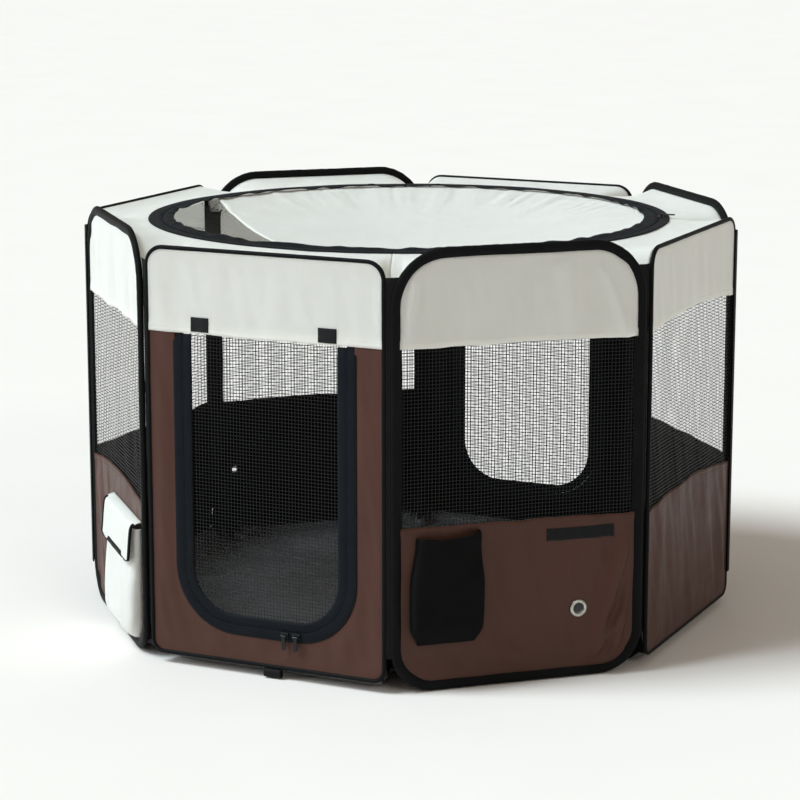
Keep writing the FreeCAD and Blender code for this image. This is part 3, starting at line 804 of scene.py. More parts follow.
def stretched(points, seed, amount=0.25):
    """Netting never hangs quite square: its threads drift a little in its own plane."""
    shift_x = [ripple(x, y, seed, 55.0, 80.0) for x, y in points]
    shift_y = [ripple(x, y, seed + 5, 90.0, 50.0) for x, y in points]
    return points + amount * np.stack([shift_x, shift_y], 1)


def add_window(wall):
    half = wall.half - wall.edge + 2.0
    flat_points, faces = net(-half, half, LOWER_TOP - 14.0, VALANCE_LOW + 10.0)
    x, z = stretched(flat_points, wall.index).T
    points = points_of(x, -0.3 + hang(wall, x, z) * 0.5, z)
    obj = make(wall.name + "_window_net", (points, faces), [NET], wall=wall)
    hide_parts(wall.name + "_mesh")


# ---- Door walls -----------------------------------------------------------------------------------
def u_rail(half, bottom, radius, top, turn_z, turn_x):
    """A U in three matching stretches a side: down to turn_z, round to turn_x, along to the middle."""
    bend = arc(radius - half, bottom + radius, radius, 180, 270)
    corner = np.vstack([[(-half, turn_z)], bend, [(-turn_x, bottom)]])
    left = np.vstack([
        resample([(-half, top), (-half, turn_z)], 40, False)[:-1],
        resample(corner, 30, False)[:-1],
        resample([(-turn_x, bottom), (0.0, bottom)], 10, False),
    ])
    return np.vstack([left, left[-2::-1] * (-1.0, 1.0)])


def add_surround(wall):
    """Brown cloth round the door, black inside, from the zip out to the piping."""
    top = VALANCE_LOW + 8.0
    inner = u_rail(DOOR_HALF + 0.5, DOOR_LOW, DOOR_R, top, DOOR_LOW + DOOR_R, DOOR_HALF - DOOR_R)
    half, bottom = wall.half - wall.sewn, wall.low + wall.sewn
    outer = u_rail(half, bottom, wall.r_low - wall.sewn, top, DOOR_LOW + 60.0, DOOR_HALF - 70.0)
    share = np.linspace(0.0, 1.0, 16)[:, None, None]
    flat_points = inner + (outer - inner) * share
    x, z = flat_points[..., 0], flat_points[..., 1]
    grid = points_of(x, 0.2 + 1.6 * hang(wall, x, z) * ramp(share[..., 0], 0.0, 0.3), z)
    cloth = make(wall.name + "_surround_cloth", slab(grid, CLOTH), [BROWN_CLOTH, BLACK_LINING],
                 wall=wall)
    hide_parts(wall.name + "_door_surround")


def tucked(z):
    """How far a zip goes back to pass behind the valance."""
    return 2.5 * ramp(z, VALANCE_LOW - 16.0, VALANCE_LOW - 3.0)


def band(line, ways, offsets, outs):
    """A tape that follows a flat line: points at each offset to its left, standing out by outs."""
    places = line[None] + ways[None] * np.asarray(offsets)[:, None, None]
    return upright(places, np.asarray(outs)[:, None] - tucked(places[..., 1]))


TAPE_LIFT = (1.3, 1.75, 1.85, 1.7, 1.25)  # how a tape stands out across its width, outer edge first


def zip_teeth(line, ways, out, lean):
    """The coil of one half of a zip: a bar across the seam at every other tooth's place."""
    places = line + ways * lean
    centres = upright(places, out - tucked(places[:, 1]))
    return spindles(centres, upright(ways) * TOOTH_HALF, OUTWARDS, TOOTH_R)


def add_door(wall):
    """The zip's two tapes and coils, and the netting between them."""
    door = wall.name + "_door"
    hem_top, door_top = VALANCE_LOW + 6.0, VALANCE_LOW - 1.5
    line, ways = door_line(0.0, hem_top)
    track = band(line, ways, np.linspace(-3.0, SEAM - 0.1, 5), TAPE_LIFT)
    tape = make(wall.name + "_zip_tape_outer", slab(track, TAPE), [ZIP_TAPE], wall=wall)
    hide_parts(wall.name + "_door_zip_track")
    line, ways = door_line(0.0, door_top)
    leaf = band(line, ways, np.linspace(SEAM + 0.1, 2.0 * SEAM + 1.5, 5), TAPE_LIFT[::-1])
    tape = make(wall.name + "_zip_tape_inner", slab(leaf, TAPE), [ZIP_TAPE],
                body=door, wall=wall)
    fine, fine_ways = door_line(SEAM, door_top, TOOTH_PITCH)
    halves = (("outer", wall.body, 0, -TOOTH_LEAN), ("inner", door, 1, TOOTH_LEAN))
    for side, body, first, lean in halves:
        teeth = zip_teeth(fine[first::2], fine_ways[first::2], 2.0, lean)
        make(wall.name + "_zip_coil_" + side, teeth, [ZIP_COIL], body=body, wall=wall)
    make_door_net(wall, door, door_top)
    edges = (door_line(-1.6, hem_top)[0], door_line(2.0 * SEAM - 0.6, door_top)[0])
    for (side, body, *_), edge in zip(halves, edges):
        rows = stitch_line(edge, 1.95 - tucked(edge[:, 1]))
        make(wall.name + "_zip_stitching_" + side, rows, [BLACK_THREAD],
             body=body, wall=wall)


def make_door_net(wall, door, top):
    half, bottom, radius = DOOR_HALF - DOOR_NET_IN, DOOR_LOW + DOOR_NET_IN, DOOR_R - DOOR_NET_IN

    def inside(x, z):
        side = np.maximum(np.abs(x) - (half - radius), 0.0)
        foot = np.maximum(bottom + radius - z, 0.0)
        return np.hypot(side, foot) < radius

    flat_points, faces = net(-half, half, bottom, top, inside)
    x, z = stretched(flat_points, wall.index).T
    belly = 3.0 * np.cos(x / half * math.pi / 2.0) * ramp(top - z, 0.0, 90.0) * ramp(z - bottom, 0.0, 90.0)
    out = 0.3 + belly * (0.6 + 0.8 * ripples(x, z, wall.index + 60, 90.0, 160.0))
    obj = make(door + "_net", (points_of(x, out, z), faces), [NET], body=door, wall=wall)
    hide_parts(door)


# ---- Seams between the walls ----------------------------------------------------------------------
SEAM_LOW, SEAM_TOP, SEAM_REACH = 50.0, 574.0, 10.5


def fold_point(index):
    """Plan position of a fold line in millimetres."""
    angle = math.radians(FIRST_FOLD_DEG + STEP_DEG * index)
    radius = FOLD_HALF / math.sin(math.radians(STEP_DEG / 2.0))
    return Vector((radius * math.cos(angle), radius * math.sin(angle), 0.0))


def seam_reach(wall, z):
    """How far a seam's tape goes along a wall: further where the wall's corner is rounded away."""
    if not wall.wide:
        return SEAM_REACH
    past = max(0.0, z - wall.top + wall.r_top)
    edge = wall.half - wall.r_top + math.sqrt(wall.r_top ** 2 - past ** 2)
    return max(SEAM_REACH, FOLD_HALF + 4.0 - edge)


def seam_grid(line, parts):
    """Rows up a fold line. parts are (wall, way along it, share of its reach) across the tape."""
    rows = []
    for z in np.linspace(SEAM_LOW, SEAM_TOP, 56):
        row = [line + way * (seam_reach(wall, z) * share) for wall, way, share in parts]
        rows.append([(p.x, p.y, z) for p in row])
    return np.array(rows)


def add_seams():
    """Black tape that joins each wall to the next along their fold line."""
    for index, name in enumerate(NAMES):
        after, before = WALLS[name], WALLS[NAMES[index - 1]]
        line, side = fold_point(index), FOLD_SIDE[index]
        if side == 0:
            for wall, way in ((after, after.along), (before, -before.along)):
                parts = [(wall, way, share) for share in (0.01, 0.2, 0.4, 0.7, 1.0)]
                strip = make("seam_%d_%s" % (index, wall.name), slab(seam_grid(line, parts), 1.4), [WEBBING],
                             body=wall.body)
            continue
        line = line + (after.outward + before.outward).normalized() * (-0.9 * side)
        parts = [(before, -before.along, share) for share in (1.0, 0.6, 0.3, 0.1)]
        parts += [(after, after.along, share) for share in (0.1, 0.3, 0.6, 1.0)]
        strip = make("seam_%d" % index, slab(seam_grid(line, parts), 1.0), [WEBBING])
        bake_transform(strip)


# ---- Floor and top --------------------------------------------------------------------------------
CORNER_Z, CORNER_LOW = 549.0, 64.0  # where the ring's and the floor's cloth meet the seam between walls


def sewn_sector(wall, inner_radius, rows, cols):
    """A sector of the plan from just behind a wall in to a circle: x, y, share of the way in, and
    how far along the wall each column starts."""
    share = np.linspace(0.0, 1.0, rows)[:, None]
    t = np.linspace(-1.0, 1.0, cols)[None, :]
    left, right = (fold_point(wall.index + k) - wall.outward * 1.5 for k in (0, 1))
    ex, ey = ((left[k] + (right[k] - left[k]) * (t + 1.0) / 2.0) for k in (0, 1))
    angle = np.radians(FIRST_FOLD_DEG + STEP_DEG * (wall.index + 0.5) + t * STEP_DEG / 2.0)
    ix, iy = inner_radius * np.cos(angle), inner_radius * np.sin(angle)
    x, y = ex + (ix - ex) * share, ey + (iy - ey) * share
    share = np.broadcast_to(share, x.shape)
    line = np.stack([x[0], y[0]], 1)
    along = line @ np.array(wall.along[:2]) - wall.middle.dot(wall.along)
    out = line @ np.array(wall.outward[:2]) - wall.middle.dot(wall.outward)
    shift = (1.0 - wall.depth - out) * ramp(wall.half - 6.0 - np.abs(along), 0.0, 30.0)
    x = x + (shift * wall.outward.x) * (1.0 - share)
    y = y + (shift * wall.outward.y) * (1.0 - share)
    return x, y, share, along


def floor_height(x, y):
    """Slack floor cloth: long soft ridges and smaller creases between them."""
    ridge = 1.0 - np.abs(ripples(x + 0.4 * y, y, 71, 150.0, 90.0)) * 2.4
    crease = 1.0 - np.abs(ripples(x, y + 0.5 * x, 72, 60.0, 45.0)) * 3.0
    return 1.4 + 6.0 * np.clip(ridge, 0.0, 1.0) ** 2 + 2.2 * np.clip(crease, 0.0, 1.0) ** 2


def add_floor():
    """Slack dark cloth, laid on the ground and turned up at its edge to meet each wall."""
    for wall in WALLS.values():
        x, y, share, along = sewn_sector(wall, 0.2, 72, 60)
        run = share * FLOOR_APOTHEM
        inset = 10.0 if wall.wide else 3.5
        inner_half = wall.half - inset
        edge_z = np.minimum(wall.low_at(np.clip(along, -inner_half, inner_half), inset), CORNER_LOW)
        edge_z = edge_z + (CORNER_LOW - edge_z) * ramp(np.abs(along), wall.half - 7.0, wall.half + 2.0)
        flat_z = 1.2 + (floor_height(x, y) - 1.0) * ramp(run, 30.0, 90.0)
        z = flat_z + (edge_z - flat_z) * (1.0 - ramp(run, 0.0, 8.0 + edge_z * 1.3)) ** 1.3
        points, faces, _ = slab(points_of(x, y, z), CLOTH)
        # painted shade: faces of the turned-up edge above this height take the black lining cloth, so the
        # inside corners look dark
        painted_shade_faces = (points[faces].mean(1)[:, 2] > PAINTED_SHADE_FROM_Z).astype(int)
        sheet = make(wall.name + "_floor_cloth", (points, faces, painted_shade_faces), [FLOOR_CLOTH, BLACK_LINING],
                     body=wall.body)
        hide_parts("floor")
        squash_to_wall(sheet, wall)


def squash_to_wall(obj, wall):
    anchor = wall.world(0.0, -wall.depth - 1.0, 0.0) * MM
    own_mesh(obj)


def ring_edge_z(wall, along):
    """Where the ring's cloth is sewn behind the top of a wall's edge."""
    inset = 12.0 if wall.wide else 3.5
    inner_half = wall.half - inset
    edge_z = np.maximum(wall.top_at(np.clip(along, -inner_half, inner_half), inset), CORNER_Z)
    return edge_z + (CORNER_Z - edge_z) * ramp(np.abs(along), wall.half - 6.0, wall.half + 2.0)


def zip_plane(x, y):
    """Height of the round zip, which ripples a little where it was sewn to the slack cloth."""
    angle = np.arctan2(y, x)
    return RING_Z + 1.5 + 0.6 * ripples(np.cos(angle) * 300, np.sin(angle) * 300, 81, 60.0, 60.0)


def add_ring():
    """Cream cloth from the walls' tops in to the zip, dipping at each corner, and its half of the zip."""
    for wall in WALLS.values():
        x, y, share, along = sewn_sector(wall, OPENING_R - 3.0, 30, 90)
        edge_z = ring_edge_z(wall, along)
        inner_z = zip_plane(x[-1], y[-1]) + 0.6
        z = edge_z + (inner_z - edge_z) * (1.0 - (1.0 - share) ** 2.2)
        wrinkle = ripples(x, y, 83, 46.0, 46.0) + 0.5 * ripples(x, y, 84, 20.0, 20.0)
        z = z + np.sin(share * math.pi) * (1.6 * wrinkle - 1.8)
        cloth = make(wall.name + "_top_ring", slab(points_of(x, y, z), 1.1), [CREAM_TOP],
                     body=wall.body)
        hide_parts("top_ring")
        squash_to_wall(cloth, wall)
        start_deg = FIRST_FOLD_DEG + STEP_DEG * wall.index
        span = (start_deg, start_deg + STEP_DEG)
        tape = slab(round_tape(*span, SEAM_R + 0.1, OPENING_R + 4.0, 1.6, 48), TAPE)
        tape = make(wall.name + "_top_zip_tape", tape, [ZIP_TAPE], body=wall.body)
        squash_to_wall(tape, wall)
        teeth = make(wall.name + "_top_zip_coil", round_teeth(*span, TOOTH_LEAN, 0), [ZIP_COIL],
                     body=wall.body)
        squash_to_wall(teeth, wall)


def round_tape(start_deg, end_deg, inner, outer, lift, count, ruffle=0.0):
    """A stretch of the round zip's tape: a grid from its inner to its outer edge."""
    angle = np.radians(np.linspace(start_deg, end_deg, count))
    radius = np.linspace(inner, outer, 7)[:, None]
    x, y = radius * np.cos(angle), radius * np.sin(angle)
    level = zip_plane(SEAM_R * np.cos(angle), SEAM_R * np.sin(angle))
    arch = 0.9 * np.sin(np.linspace(0.0, math.pi, 7))[:, None]
    wave = ripples(np.cos(angle) * 500, np.sin(angle) * 500, 85, 34.0, 34.0)
    loose = ramp(SEAM_R - 3.0 - radius, 0.0, 12.0)
    return points_of(x, y, level + lift + arch + ruffle * (0.6 + wave) * loose)


def round_teeth(start_deg, end_deg, lean, offset):
    """The coil of one half of the round zip. offset is 0 or 1, for the half whose teeth come first."""
    span = end_deg - start_deg
    count = int(math.radians(span) * SEAM_R / (2.0 * TOOTH_PITCH))
    angle = np.radians(start_deg + (np.arange(count) + 0.25 + 0.5 * offset) * span / count)
    radial = points_of(np.cos(angle), np.sin(angle), 0.0)
    centres = radial * (SEAM_R + lean)
    centres[:, 2] = zip_plane(centres[:, 0], centres[:, 1]) + 2.5
    return spindles(centres, radial * TOOTH_HALF, UPWARDS, TOOTH_R)


# ---- The round cover, draped by simulation ----------------------------------------------------------
SAG_RINGS, SAG_SECTORS = 26, 84


def settled_cover():
    """Heights of the cover's cloth on rings and sectors, held at the zip and a little too large for it."""
    radius = np.linspace(0.0, COVER_R, SAG_RINGS + 1)[1:]
    angle = np.radians(np.arange(SAG_SECTORS) * 360.0 / SAG_SECTORS)
    x, y = radius[:, None] * np.cos(angle), radius[:, None] * np.sin(angle)
    z = -14.0 * (1.0 - (radius[:, None] / COVER_R) ** 2) + 2.5 * ripples(x, y, 90, 70.0, 45.0)
    z = z * ramp(COVER_R - radius[:, None], 0.0, 60.0)
    points = np.vstack([np.stack([x, y, z], -1).reshape(-1, 3), [[0.0, 0.0, z[0].mean()]]])
    hub = len(points) - 1
    faces = [list(f) for f in grid_faces(SAG_RINGS, SAG_SECTORS, True)]
    faces += [[k, (k + 1) % SAG_SECTORS, hub] for k in range(SAG_SECTORS)]
    mesh = bpy.data.meshes.new("cover_sim")
    mesh.from_pydata((points * MM).tolist(), [], faces)
    obj = bpy.data.objects.new("cover_sim", mesh)
    bpy.context.scene.collection.objects.link(obj)
    pins = obj.vertex_groups.new(name="pins")
    pins.add([hub - 1 - k for k in range(SAG_SECTORS)], 1.0, "REPLACE")
    cloth = obj.modifiers.new("cloth", "CLOTH")
    cloth.settings.vertex_group_mass = "pins"
    cloth.settings.quality, cloth.settings.mass = 6, 0.12
    cloth.settings.tension_stiffness, cloth.settings.compression_stiffness = 25.0, 25.0
    cloth.settings.bending_stiffness = 0.6
    cloth.settings.shrink_min = -0.004
    cloth.point_cache.frame_end = 40
    for number in range(1, 37):
        bpy.context.scene.frame_set(number)
    shape = obj.evaluated_get(bpy.context.evaluated_depsgraph_get()).to_mesh()
    settled = np.array([v.co.z for v in shape.vertices]) / MM
    bpy.context.scene.frame_set(1)
    bpy.data.objects.remove(obj)
    return settled[:hub].reshape(SAG_RINGS, SAG_SECTORS)


COVER_SAG = settled_cover()


def cover_height(x, y):
    """Height of the cover's cloth above a place, from the settled sheet."""
    radius, angle = np.hypot(x, y), np.arctan2(y, x)
    ring = np.clip(radius / COVER_R * SAG_RINGS - 1.0, 0.0, SAG_RINGS - 1.001)
    sector = (np.degrees(angle) % 360.0) / 360.0 * SAG_SECTORS
    r0, s0 = ring.astype(int), sector.astype(int) % SAG_SECTORS
    fr, fs = ring - r0, sector - np.floor(sector)
    s1 = (s0 + 1) % SAG_SECTORS
    near, far = (COVER_SAG[r, s0] * (1 - fs) + COVER_SAG[r, s1] * fs for r in (r0, r0 + 1))
    rim = zip_plane(x, y) * ramp(radius, 250.0, COVER_R)
    level = rim + (RING_Z + 1.5) * ramp(-radius, -COVER_R, -250.0)
    gathers = ripples(angle * 20.0, radius, 95, 1.0, 170.0)
    gathers = gathers + 0.5 * ripples(angle * 45.0, radius, 96, 1.0, 120.0)
    return level + near * (1 - fr) + far * fr + 2.6 * gathers * bell(radius, 325.0, 45.0)


def squash_cover(obj):
    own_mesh(obj)


def turned(a, b, degrees):
    """Plan places (a, b) turned about the middle of the top."""
    turn = math.radians(degrees)
    return a * math.cos(turn) - b * math.sin(turn), a * math.sin(turn) + b * math.cos(turn)


def add_cover():
    """The lifting part of the top: netting, the shade over it, and its half of the round zip."""
    span = (-COVER_R, COVER_R)
    flat_points, faces = net(*span, *span, lambda x, y: np.hypot(x, y) < COVER_R + 2.0)
    x, y = turned(*flat_points.T, SHADE_DEG - 180.0)
    inner = 1.0 - 2.0 / np.maximum(np.hypot(x, y), 10.0)
    points = points_of(x, y, cover_height(x * inner, y * inner))
    obj = make("top_cover_net", (points, faces), [NET], body="top_cover")
    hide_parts("top_cover_mesh")
    squash_cover(obj)
    add_shade()
    tape = round_tape(0.0, 360.0, COVER_R - 7.0, SEAM_R - 0.1, 1.6, 361, 3.4)[:, :-1]
    tape = make("top_cover_zip_tape", slab(tape, TAPE, wrap=True), [ZIP_TAPE],
                body="top_cover")
    squash_cover(tape)
    teeth = make("top_cover_zip_coil", round_teeth(0.0, 360.0, -TOOTH_LEAN, 1), [ZIP_COIL],
                 body="top_cover")
    squash_cover(teeth)


def add_shade():
    """Cream cloth over the netting, from the zip to a straight edge: rows run along that edge."""
    radius = COVER_R - 1.0
    reach = np.linspace(-1.0, 1.0, 110)
    depth = (SHADE_CHORD + radius) / 2.0 * reach + (SHADE_CHORD - radius) / 2.0
    depth = np.clip(depth, -radius * 0.9995, SHADE_CHORD)
    width = np.sqrt(radius ** 2 - depth ** 2)
    t = np.sin(np.linspace(-1.0, 1.0, 96) * math.pi / 2.0)
    a, b = np.broadcast_arrays(depth[:, None], width[:, None] * t[None])
    x, y = turned(a, b, SHADE_DEG)
    ruffle = ripples(x, y, 93, 25.0, 25.0) * ramp(radius - np.hypot(x, y), 0.0, 40.0)
    z = cover_height(x, y) + 1.2 + 0.5 * ruffle
    hem = ramp(a, SHADE_CHORD - 9.0, SHADE_CHORD - 7.0)
    cloth = make("top_cover_shade_cloth", slab(points_of(x, y, z), 1.0 + 0.8 * hem),
                 [CREAM_TOP], body="top_cover", weld=True)
    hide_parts("top_cover_shade")
    squash_cover(cloth)


# ---- Trim -----------------------------------------------------------------------------------------
EYELET_PROFILE = [  # (radius, out) round its outer half, from the barrel to the outer rim
    (7.6, 0.0), (7.6, 2.2), (8.0, 3.0), (9.2, 3.5), (10.8, 3.3), (12.3, 2.5), (12.5, 2.0),
    (11.6, 1.9), (9.4, 1.9), (8.6, 1.2), (8.6, 0.0)]


def add_eyelet(wall, centre, name):
    """Rolled metal eyelet, turned about its axis: inner and outer rims round a thin barrel."""
    mirrored = [(r, -out) for r, out in EYELET_PROFILE[-2:0:-1]]
    rims, outs = (np.array(EYELET_PROFILE + mirrored) * (centre[2], 1.0)).T
    angle = np.radians(np.arange(0, 360, 6))[:, None]
    points = points_of(centre[0] + rims * np.cos(angle), 1.2 + outs, centre[1] + rims * np.sin(angle))
    points = points.reshape(-1, 3)
    faces = grid_faces(len(angle) + 1, len(rims), True) % len(points)
    return make(name, (points, faces), [NICKEL], wall=wall)


def patch_mesh(wall, x, z, wide, tall, base):
    """A strip of hook-and-loop tape lying on the cloth, thicker than the tape at its edge."""
    xs, zs = np.meshgrid(np.linspace(x - wide / 2, x + wide / 2, int(wide / 1.5)),
                         np.linspace(z, z + tall, int(tall / 1.5)))
    edge = np.minimum(wide / 2 - np.abs(xs - x), np.minimum(zs - z, z + tall - zs))
    nap = 0.25 * ripples(xs, zs, 7, 2.1, 2.1)
    thick = 0.9 + (0.8 + nap) * ramp(edge, 0.0, 2.0)
    return slab(points_of(xs, base + hang(wall, xs, zs) + thick / 2.0, zs), thick)[:2]


def box_stitch(wall, x, z, wide, tall, out):
    corners = np.array([(-1, -1), (1, -1), (1, 1), (-1, 1), (-1, -1)], float)
    line = resample(corners * (wide / 2 - 2.2, tall / 2 - 2.2) + (x, z + tall / 2), 60, False)
    return stitch_line(line, out + hang(wall, line[:, 0], line[:, 1]), 2.4, 3.4, 0.3)


def add_patches():
    """The two patches on the front valance, and the strip over the pocket wall's eyelet."""
    pairs = (
        ("front", "front_hook_patches", [(side * 98.0, 480.0, 28.0, 20.0) for side in (-1, 1)]),
        ("front_right", "front_right_hook_strip", [(91.0, 197.0, 99.0, 17.0)]),
    )
    for wall_name, name, spots in pairs:
        wall = WALLS[wall_name]
        nap = [patch_mesh(wall, *spot, 1.8) for spot in spots]
        obj = make(name + "_nap", merge(*nap), [HOOK_TAPE], wall=wall)
        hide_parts(name)
        rows = [box_stitch(wall, *spot, 3.4) for spot in spots]
        make(name + "_stitching", merge(*rows), [BLACK_THREAD], wall=wall)


def bag_grid(left, right, deep, z, cols, power):
    """A bag's front on a wall: at each height it bulges from its left seam over to its right seam."""
    angle = np.linspace(-math.pi / 2.0, math.pi / 2.0, cols)[None, :]
    across = np.sign(np.sin(angle)) * np.abs(np.sin(angle)) ** power
    bulge = np.abs(np.cos(angle)) ** power
    x = (left + right)[:, None] / 2.0 + (right - left)[:, None] / 2.0 * across
    return x, deep[:, None] * bulge, np.broadcast_to(z[:, None], x.shape)


def add_pocket():
    """Black pocket, drawn in by elastic along its mouth and full below."""
    wall = WALLS["front_right"]
    z = np.linspace(66.0, 216.0, 60)
    up = (z - 66.0) / 150.0
    spread = 50.0 - 7.0 * ramp(up, 0.55, 1.0) - 9.0 * (1.0 - ramp(up, 0.0, 0.16))
    spread = spread + 2.0 * np.sin(up * math.pi)
    middle = -106.0 + 2.0 * up
    deep = 19.0 * rounded_rise(up, 0.22) - 5.0 * ramp(up, 0.5, 1.0)
    x, out, zs = bag_grid(middle - spread, middle + spread, deep, z, 90, 0.45)
    mouth = ramp(up, 0.72, 0.98)[:, None]
    gather = np.sin(x / 7.5 + 1.3 * np.sin(x / 31.0)) * (0.5 + 0.5 * mouth) * mouth
    folds = 1.8 * ripples(x, zs, 31, 22.0, 60.0) + 1.2 * gather
    tab = bell(x, x.max(1)[:, None], 11.0) * mouth  # the mouth's right corner is pinched into a tab
    grid = points_of(x + 3.0 * tab, 2.2 + out + folds * ramp(out, 2.0, 8.0),
                     zs + 1.5 * gather * mouth + 6.0 * tab)
    hem = 1.0 - np.abs(ramp(up, 0.90, 0.93) * (1.0 - ramp(up, 0.985, 1.0)) - 1.0)
    cloth = make("front_right_pocket_cloth", slab(grid, 1.3 + 1.5 * hem[:, None]), [BLACK_CLOTH],
                 wall=wall)
    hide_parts("front_right_pocket")
    rows = []
    for side, away in ((0, -1.5), (-1, 1.5)):
        seam = np.stack([x[4:, side] + away, z[4:]], 1)
        rows.append(stitch_line(seam, 2.0 + hang(wall, *seam.T)))
    make("front_right_pocket_stitching", merge(*rows), [BLACK_THREAD], wall=wall)


FLAP_LINE = (  # (out, z) down the flap
    (2.4, 196.0), (9.0, 194.5), (15.5, 191.0), (17.6, 187.0), (18.6, 180.0), (19.6, 168.0),
    (20.6, 152.0), (21.6, 136.5))


def add_pouch():
    """Cream pouch and its flap with black binding, low on the front-left wall."""
    wall = WALLS["front_left"]
    z = np.linspace(17.0, 186.0, 64)
    inner = BINDING_WIDTH + 1.0
    half, radius = wall.half - inner, wall.r_low - inner
    into_corner = np.clip(inner + radius - z, 0.0, radius)
    right = np.minimum(167.0, half - radius + np.sqrt(radius ** 2 - into_corner ** 2))
    left = -18.0 + 1.5 * np.sin(z / 30.0)
    deep = (23.5 - 10.0 * ramp(z, 60.0, 186.0)) * rounded_rise(z - 17.0, 30.0)
    x, out, zs = bag_grid(left, right, deep, z, 90, 0.42)
    folds = 2.0 * ripples(x, zs, 33, 26.0, 120.0) + 0.8 * ripples(x + zs * 0.3, zs, 34, 11.0, 60.0)
    grid = points_of(x, 2.2 + out + folds * ramp(out, 2.0, 9.0), zs)
    cloth = make("front_left_pouch_cloth", slab(grid, CLOTH), [CREAM_CLOTH], wall=wall)
    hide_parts("front_left_pouch")
    add_flap(wall)


def add_flap(wall):
    """The pouch's flap, hanging over its mouth, and the binding round its three free sides."""
    body, left, right, top = "front_left_pouch_flap", -21.0, 167.0, FLAP_LINE[0][1]
    line = resample(np.array(FLAP_LINE), 40, False)
    xs, outs, zs = np.broadcast_arrays(np.linspace(left, right, 60), line[:, :1], line[:, 1:])
    free = ramp(top - zs, 8.0, 60.0)
    wave = 1.6 * ripples(xs, zs, 36, 38.0, 90.0) * free + 1.2 * free * bell(xs, 20.0, 30.0)
    corner = 4.0 * (bell(xs, left, 10.0) + bell(xs, right, 10.0)) * ramp(top - zs, 48.0, 60.0)
    grid = points_of(xs, outs + wave, zs + corner)
    flap = make(body + "_cloth", slab(grid, 1.3), [CREAM_CLOTH], body=body, wall=wall)
    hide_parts(body)
    edge = np.vstack([grid[6:, 0], grid[-1, 1:-1], grid[:5:-1, -1]])
    edge = resample(edge, 150, False)
    way = np.repeat([(1.0, 0.0, 0.0), (0.0, 0.0, 1.0), (-1.0, 0.0, 0.0)], 50, axis=0)
    for _ in range(6):
        way[1:-1] = (way[:-2] + way[1:-1] + way[2:]) / 3.0
    way /= np.linalg.norm(way, axis=1)[:, None]
    up = np.cross(way, np.gradient(edge, axis=0))
    up /= np.linalg.norm(up, axis=1)[:, None]
    angle = np.radians(np.arange(0, 360, 36))
    shape = np.stack([3.0 + 4.4 * np.cos(angle), 2.0 * np.sin(angle)], -1)
    section = np.broadcast_to(shape, (len(edge), *shape.shape))
    trim = make(body + "_binding", sweep(edge, way, up, section, False), [BINDING_TAPE],
                body=body, wall=wall)


def add_stake_loop():
    """Folded webbing under the front wall."""
    angle = np.radians(np.arange(0, 360, 15))
    out = 4.0 * np.sign(np.cos(angle)) * np.abs(np.cos(angle)) ** 0.7
    z = 6.9 + 5.6 * np.sign(np.sin(angle)) * np.abs(np.sin(angle)) ** 0.8
    x = np.linspace(-3.0, 23.0, 14)[:, None]
    grid = points_of(x, out + 0.3 * np.sin(x / 4.0), z)
    obj = make("front_stake_loop_webbing", slab(grid, 1.5, wrap=True), [WEBBING],
               wall=WALLS["front"])
    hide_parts("front_stake_loop")


# ---- Everything ------------------------------------------------------------------------------------
def finish_cad_nodes():
    """Metal parts keep their CAD shape and get a finish."""
    finishes = {"frame_wire": SPRING_STEEL, "slider": ENAMEL, "pull": ENAMEL}
    for name, obj in frame["nodes"].items():
        for key, material in finishes.items():
            if key in name:
                obj.data.materials.clear()
                obj.data.materials.append(material)
    squash_cover(frame["nodes"]["top_zip_slider"])


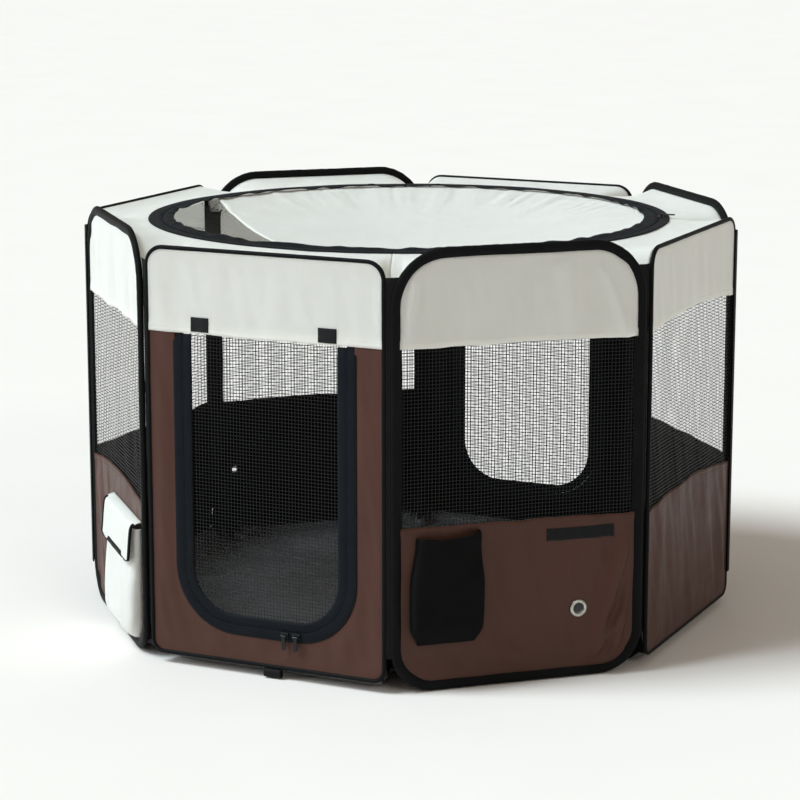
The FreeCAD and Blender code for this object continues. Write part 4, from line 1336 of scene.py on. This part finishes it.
def build():
    for wall in WALLS.values():
        add_edge(wall)
        add_valance(wall)
        if wall.name in DOORS:
            add_surround(wall)
            add_door(wall)
        else:
            add_window(wall)
            add_lower_panel(wall)
    add_seams()
    add_floor()
    add_ring()
    add_cover()
    add_patches()
    eyelet = add_eyelet(WALLS["front_right"], HOLES["front_right"], "front_right_eyelet_rolled")
    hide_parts("front_right_eyelet")
    add_eyelet(WALLS["back_left"], HOLES["back_left"], "back_left_eyelet_rolled")
    add_pocket()
    add_pouch()
    add_stake_loop()
    finish_cad_nodes()


# ---- Studio ----------------------------------------------------------------------------------------
def sun_light(name, place, spread_deg, strength, colour):
    """Soft parallel light from the direction of a place towards the pen."""
    data = bpy.data.lights.new(name, "SUN")
    data.angle, data.energy, data.color = math.radians(spread_deg), strength, colour
    lamp = bpy.data.objects.new(name, data)
    lamp.location = place
    lamp.rotation_euler = (-Vector(place)).to_track_quat("-Z", "Y").to_euler()
    bpy.context.scene.collection.objects.link(lamp)


FLOOR_REACH, FLOOR_LEVEL = 45.0, -0.001  # m
FLOOR_TONES = ((0.86, 0.81, 0.79), (0.90, 0.85, 0.83))
SUNS = (  # name, place, spread in degrees, strength and colour
    ("key", (-1.80, -1.51, 3.2), 25.0, 2.9, (0.83, 0.955, 1.0)),
    ("side", (-2.6, -1.7, 1.1), 20.0, 0.9, (0.86, 0.96, 1.0)),
    ("fill", (2.0, -1.6, 1.5), 14.0, 0.30, (1.0, 0.91, 0.74)),
)


def studio():
    """A wide pale floor, a dim warm sky, and three soft suns."""
    nodes = Nodes("studio_floor")
    speckle = nodes.noise(3.0, 2.0)
    nodes.finished(nodes.blend(speckle, *FLOOR_TONES), None, None, {"Roughness": 0.9})
    mesh = bpy.data.meshes.new("studio_floor")
    ways = ((-1, -1), (1, -1), (1, 1), (-1, 1))
    mesh.from_pydata([(x * FLOOR_REACH, y * FLOOR_REACH, FLOOR_LEVEL) for x, y in ways], [], [(0, 1, 2, 3)])
    mesh.materials.append(nodes.material)
    plane = bpy.data.objects.new("studio_floor", mesh)
    bpy.context.scene.collection.objects.link(plane)
    world = bpy.data.worlds.new("studio")
    world.use_nodes = True
    background = world.node_tree.nodes["Background"]
    background.inputs["Color"].default_value = (1.0, 0.95, 0.85, 1.0)
    background.inputs["Strength"].default_value = 0.35
    bpy.context.scene.world = world
    for sun in SUNS:
        sun_light(*sun)
    bpy.context.scene.view_settings.view_transform = "Standard"


build()
studio()
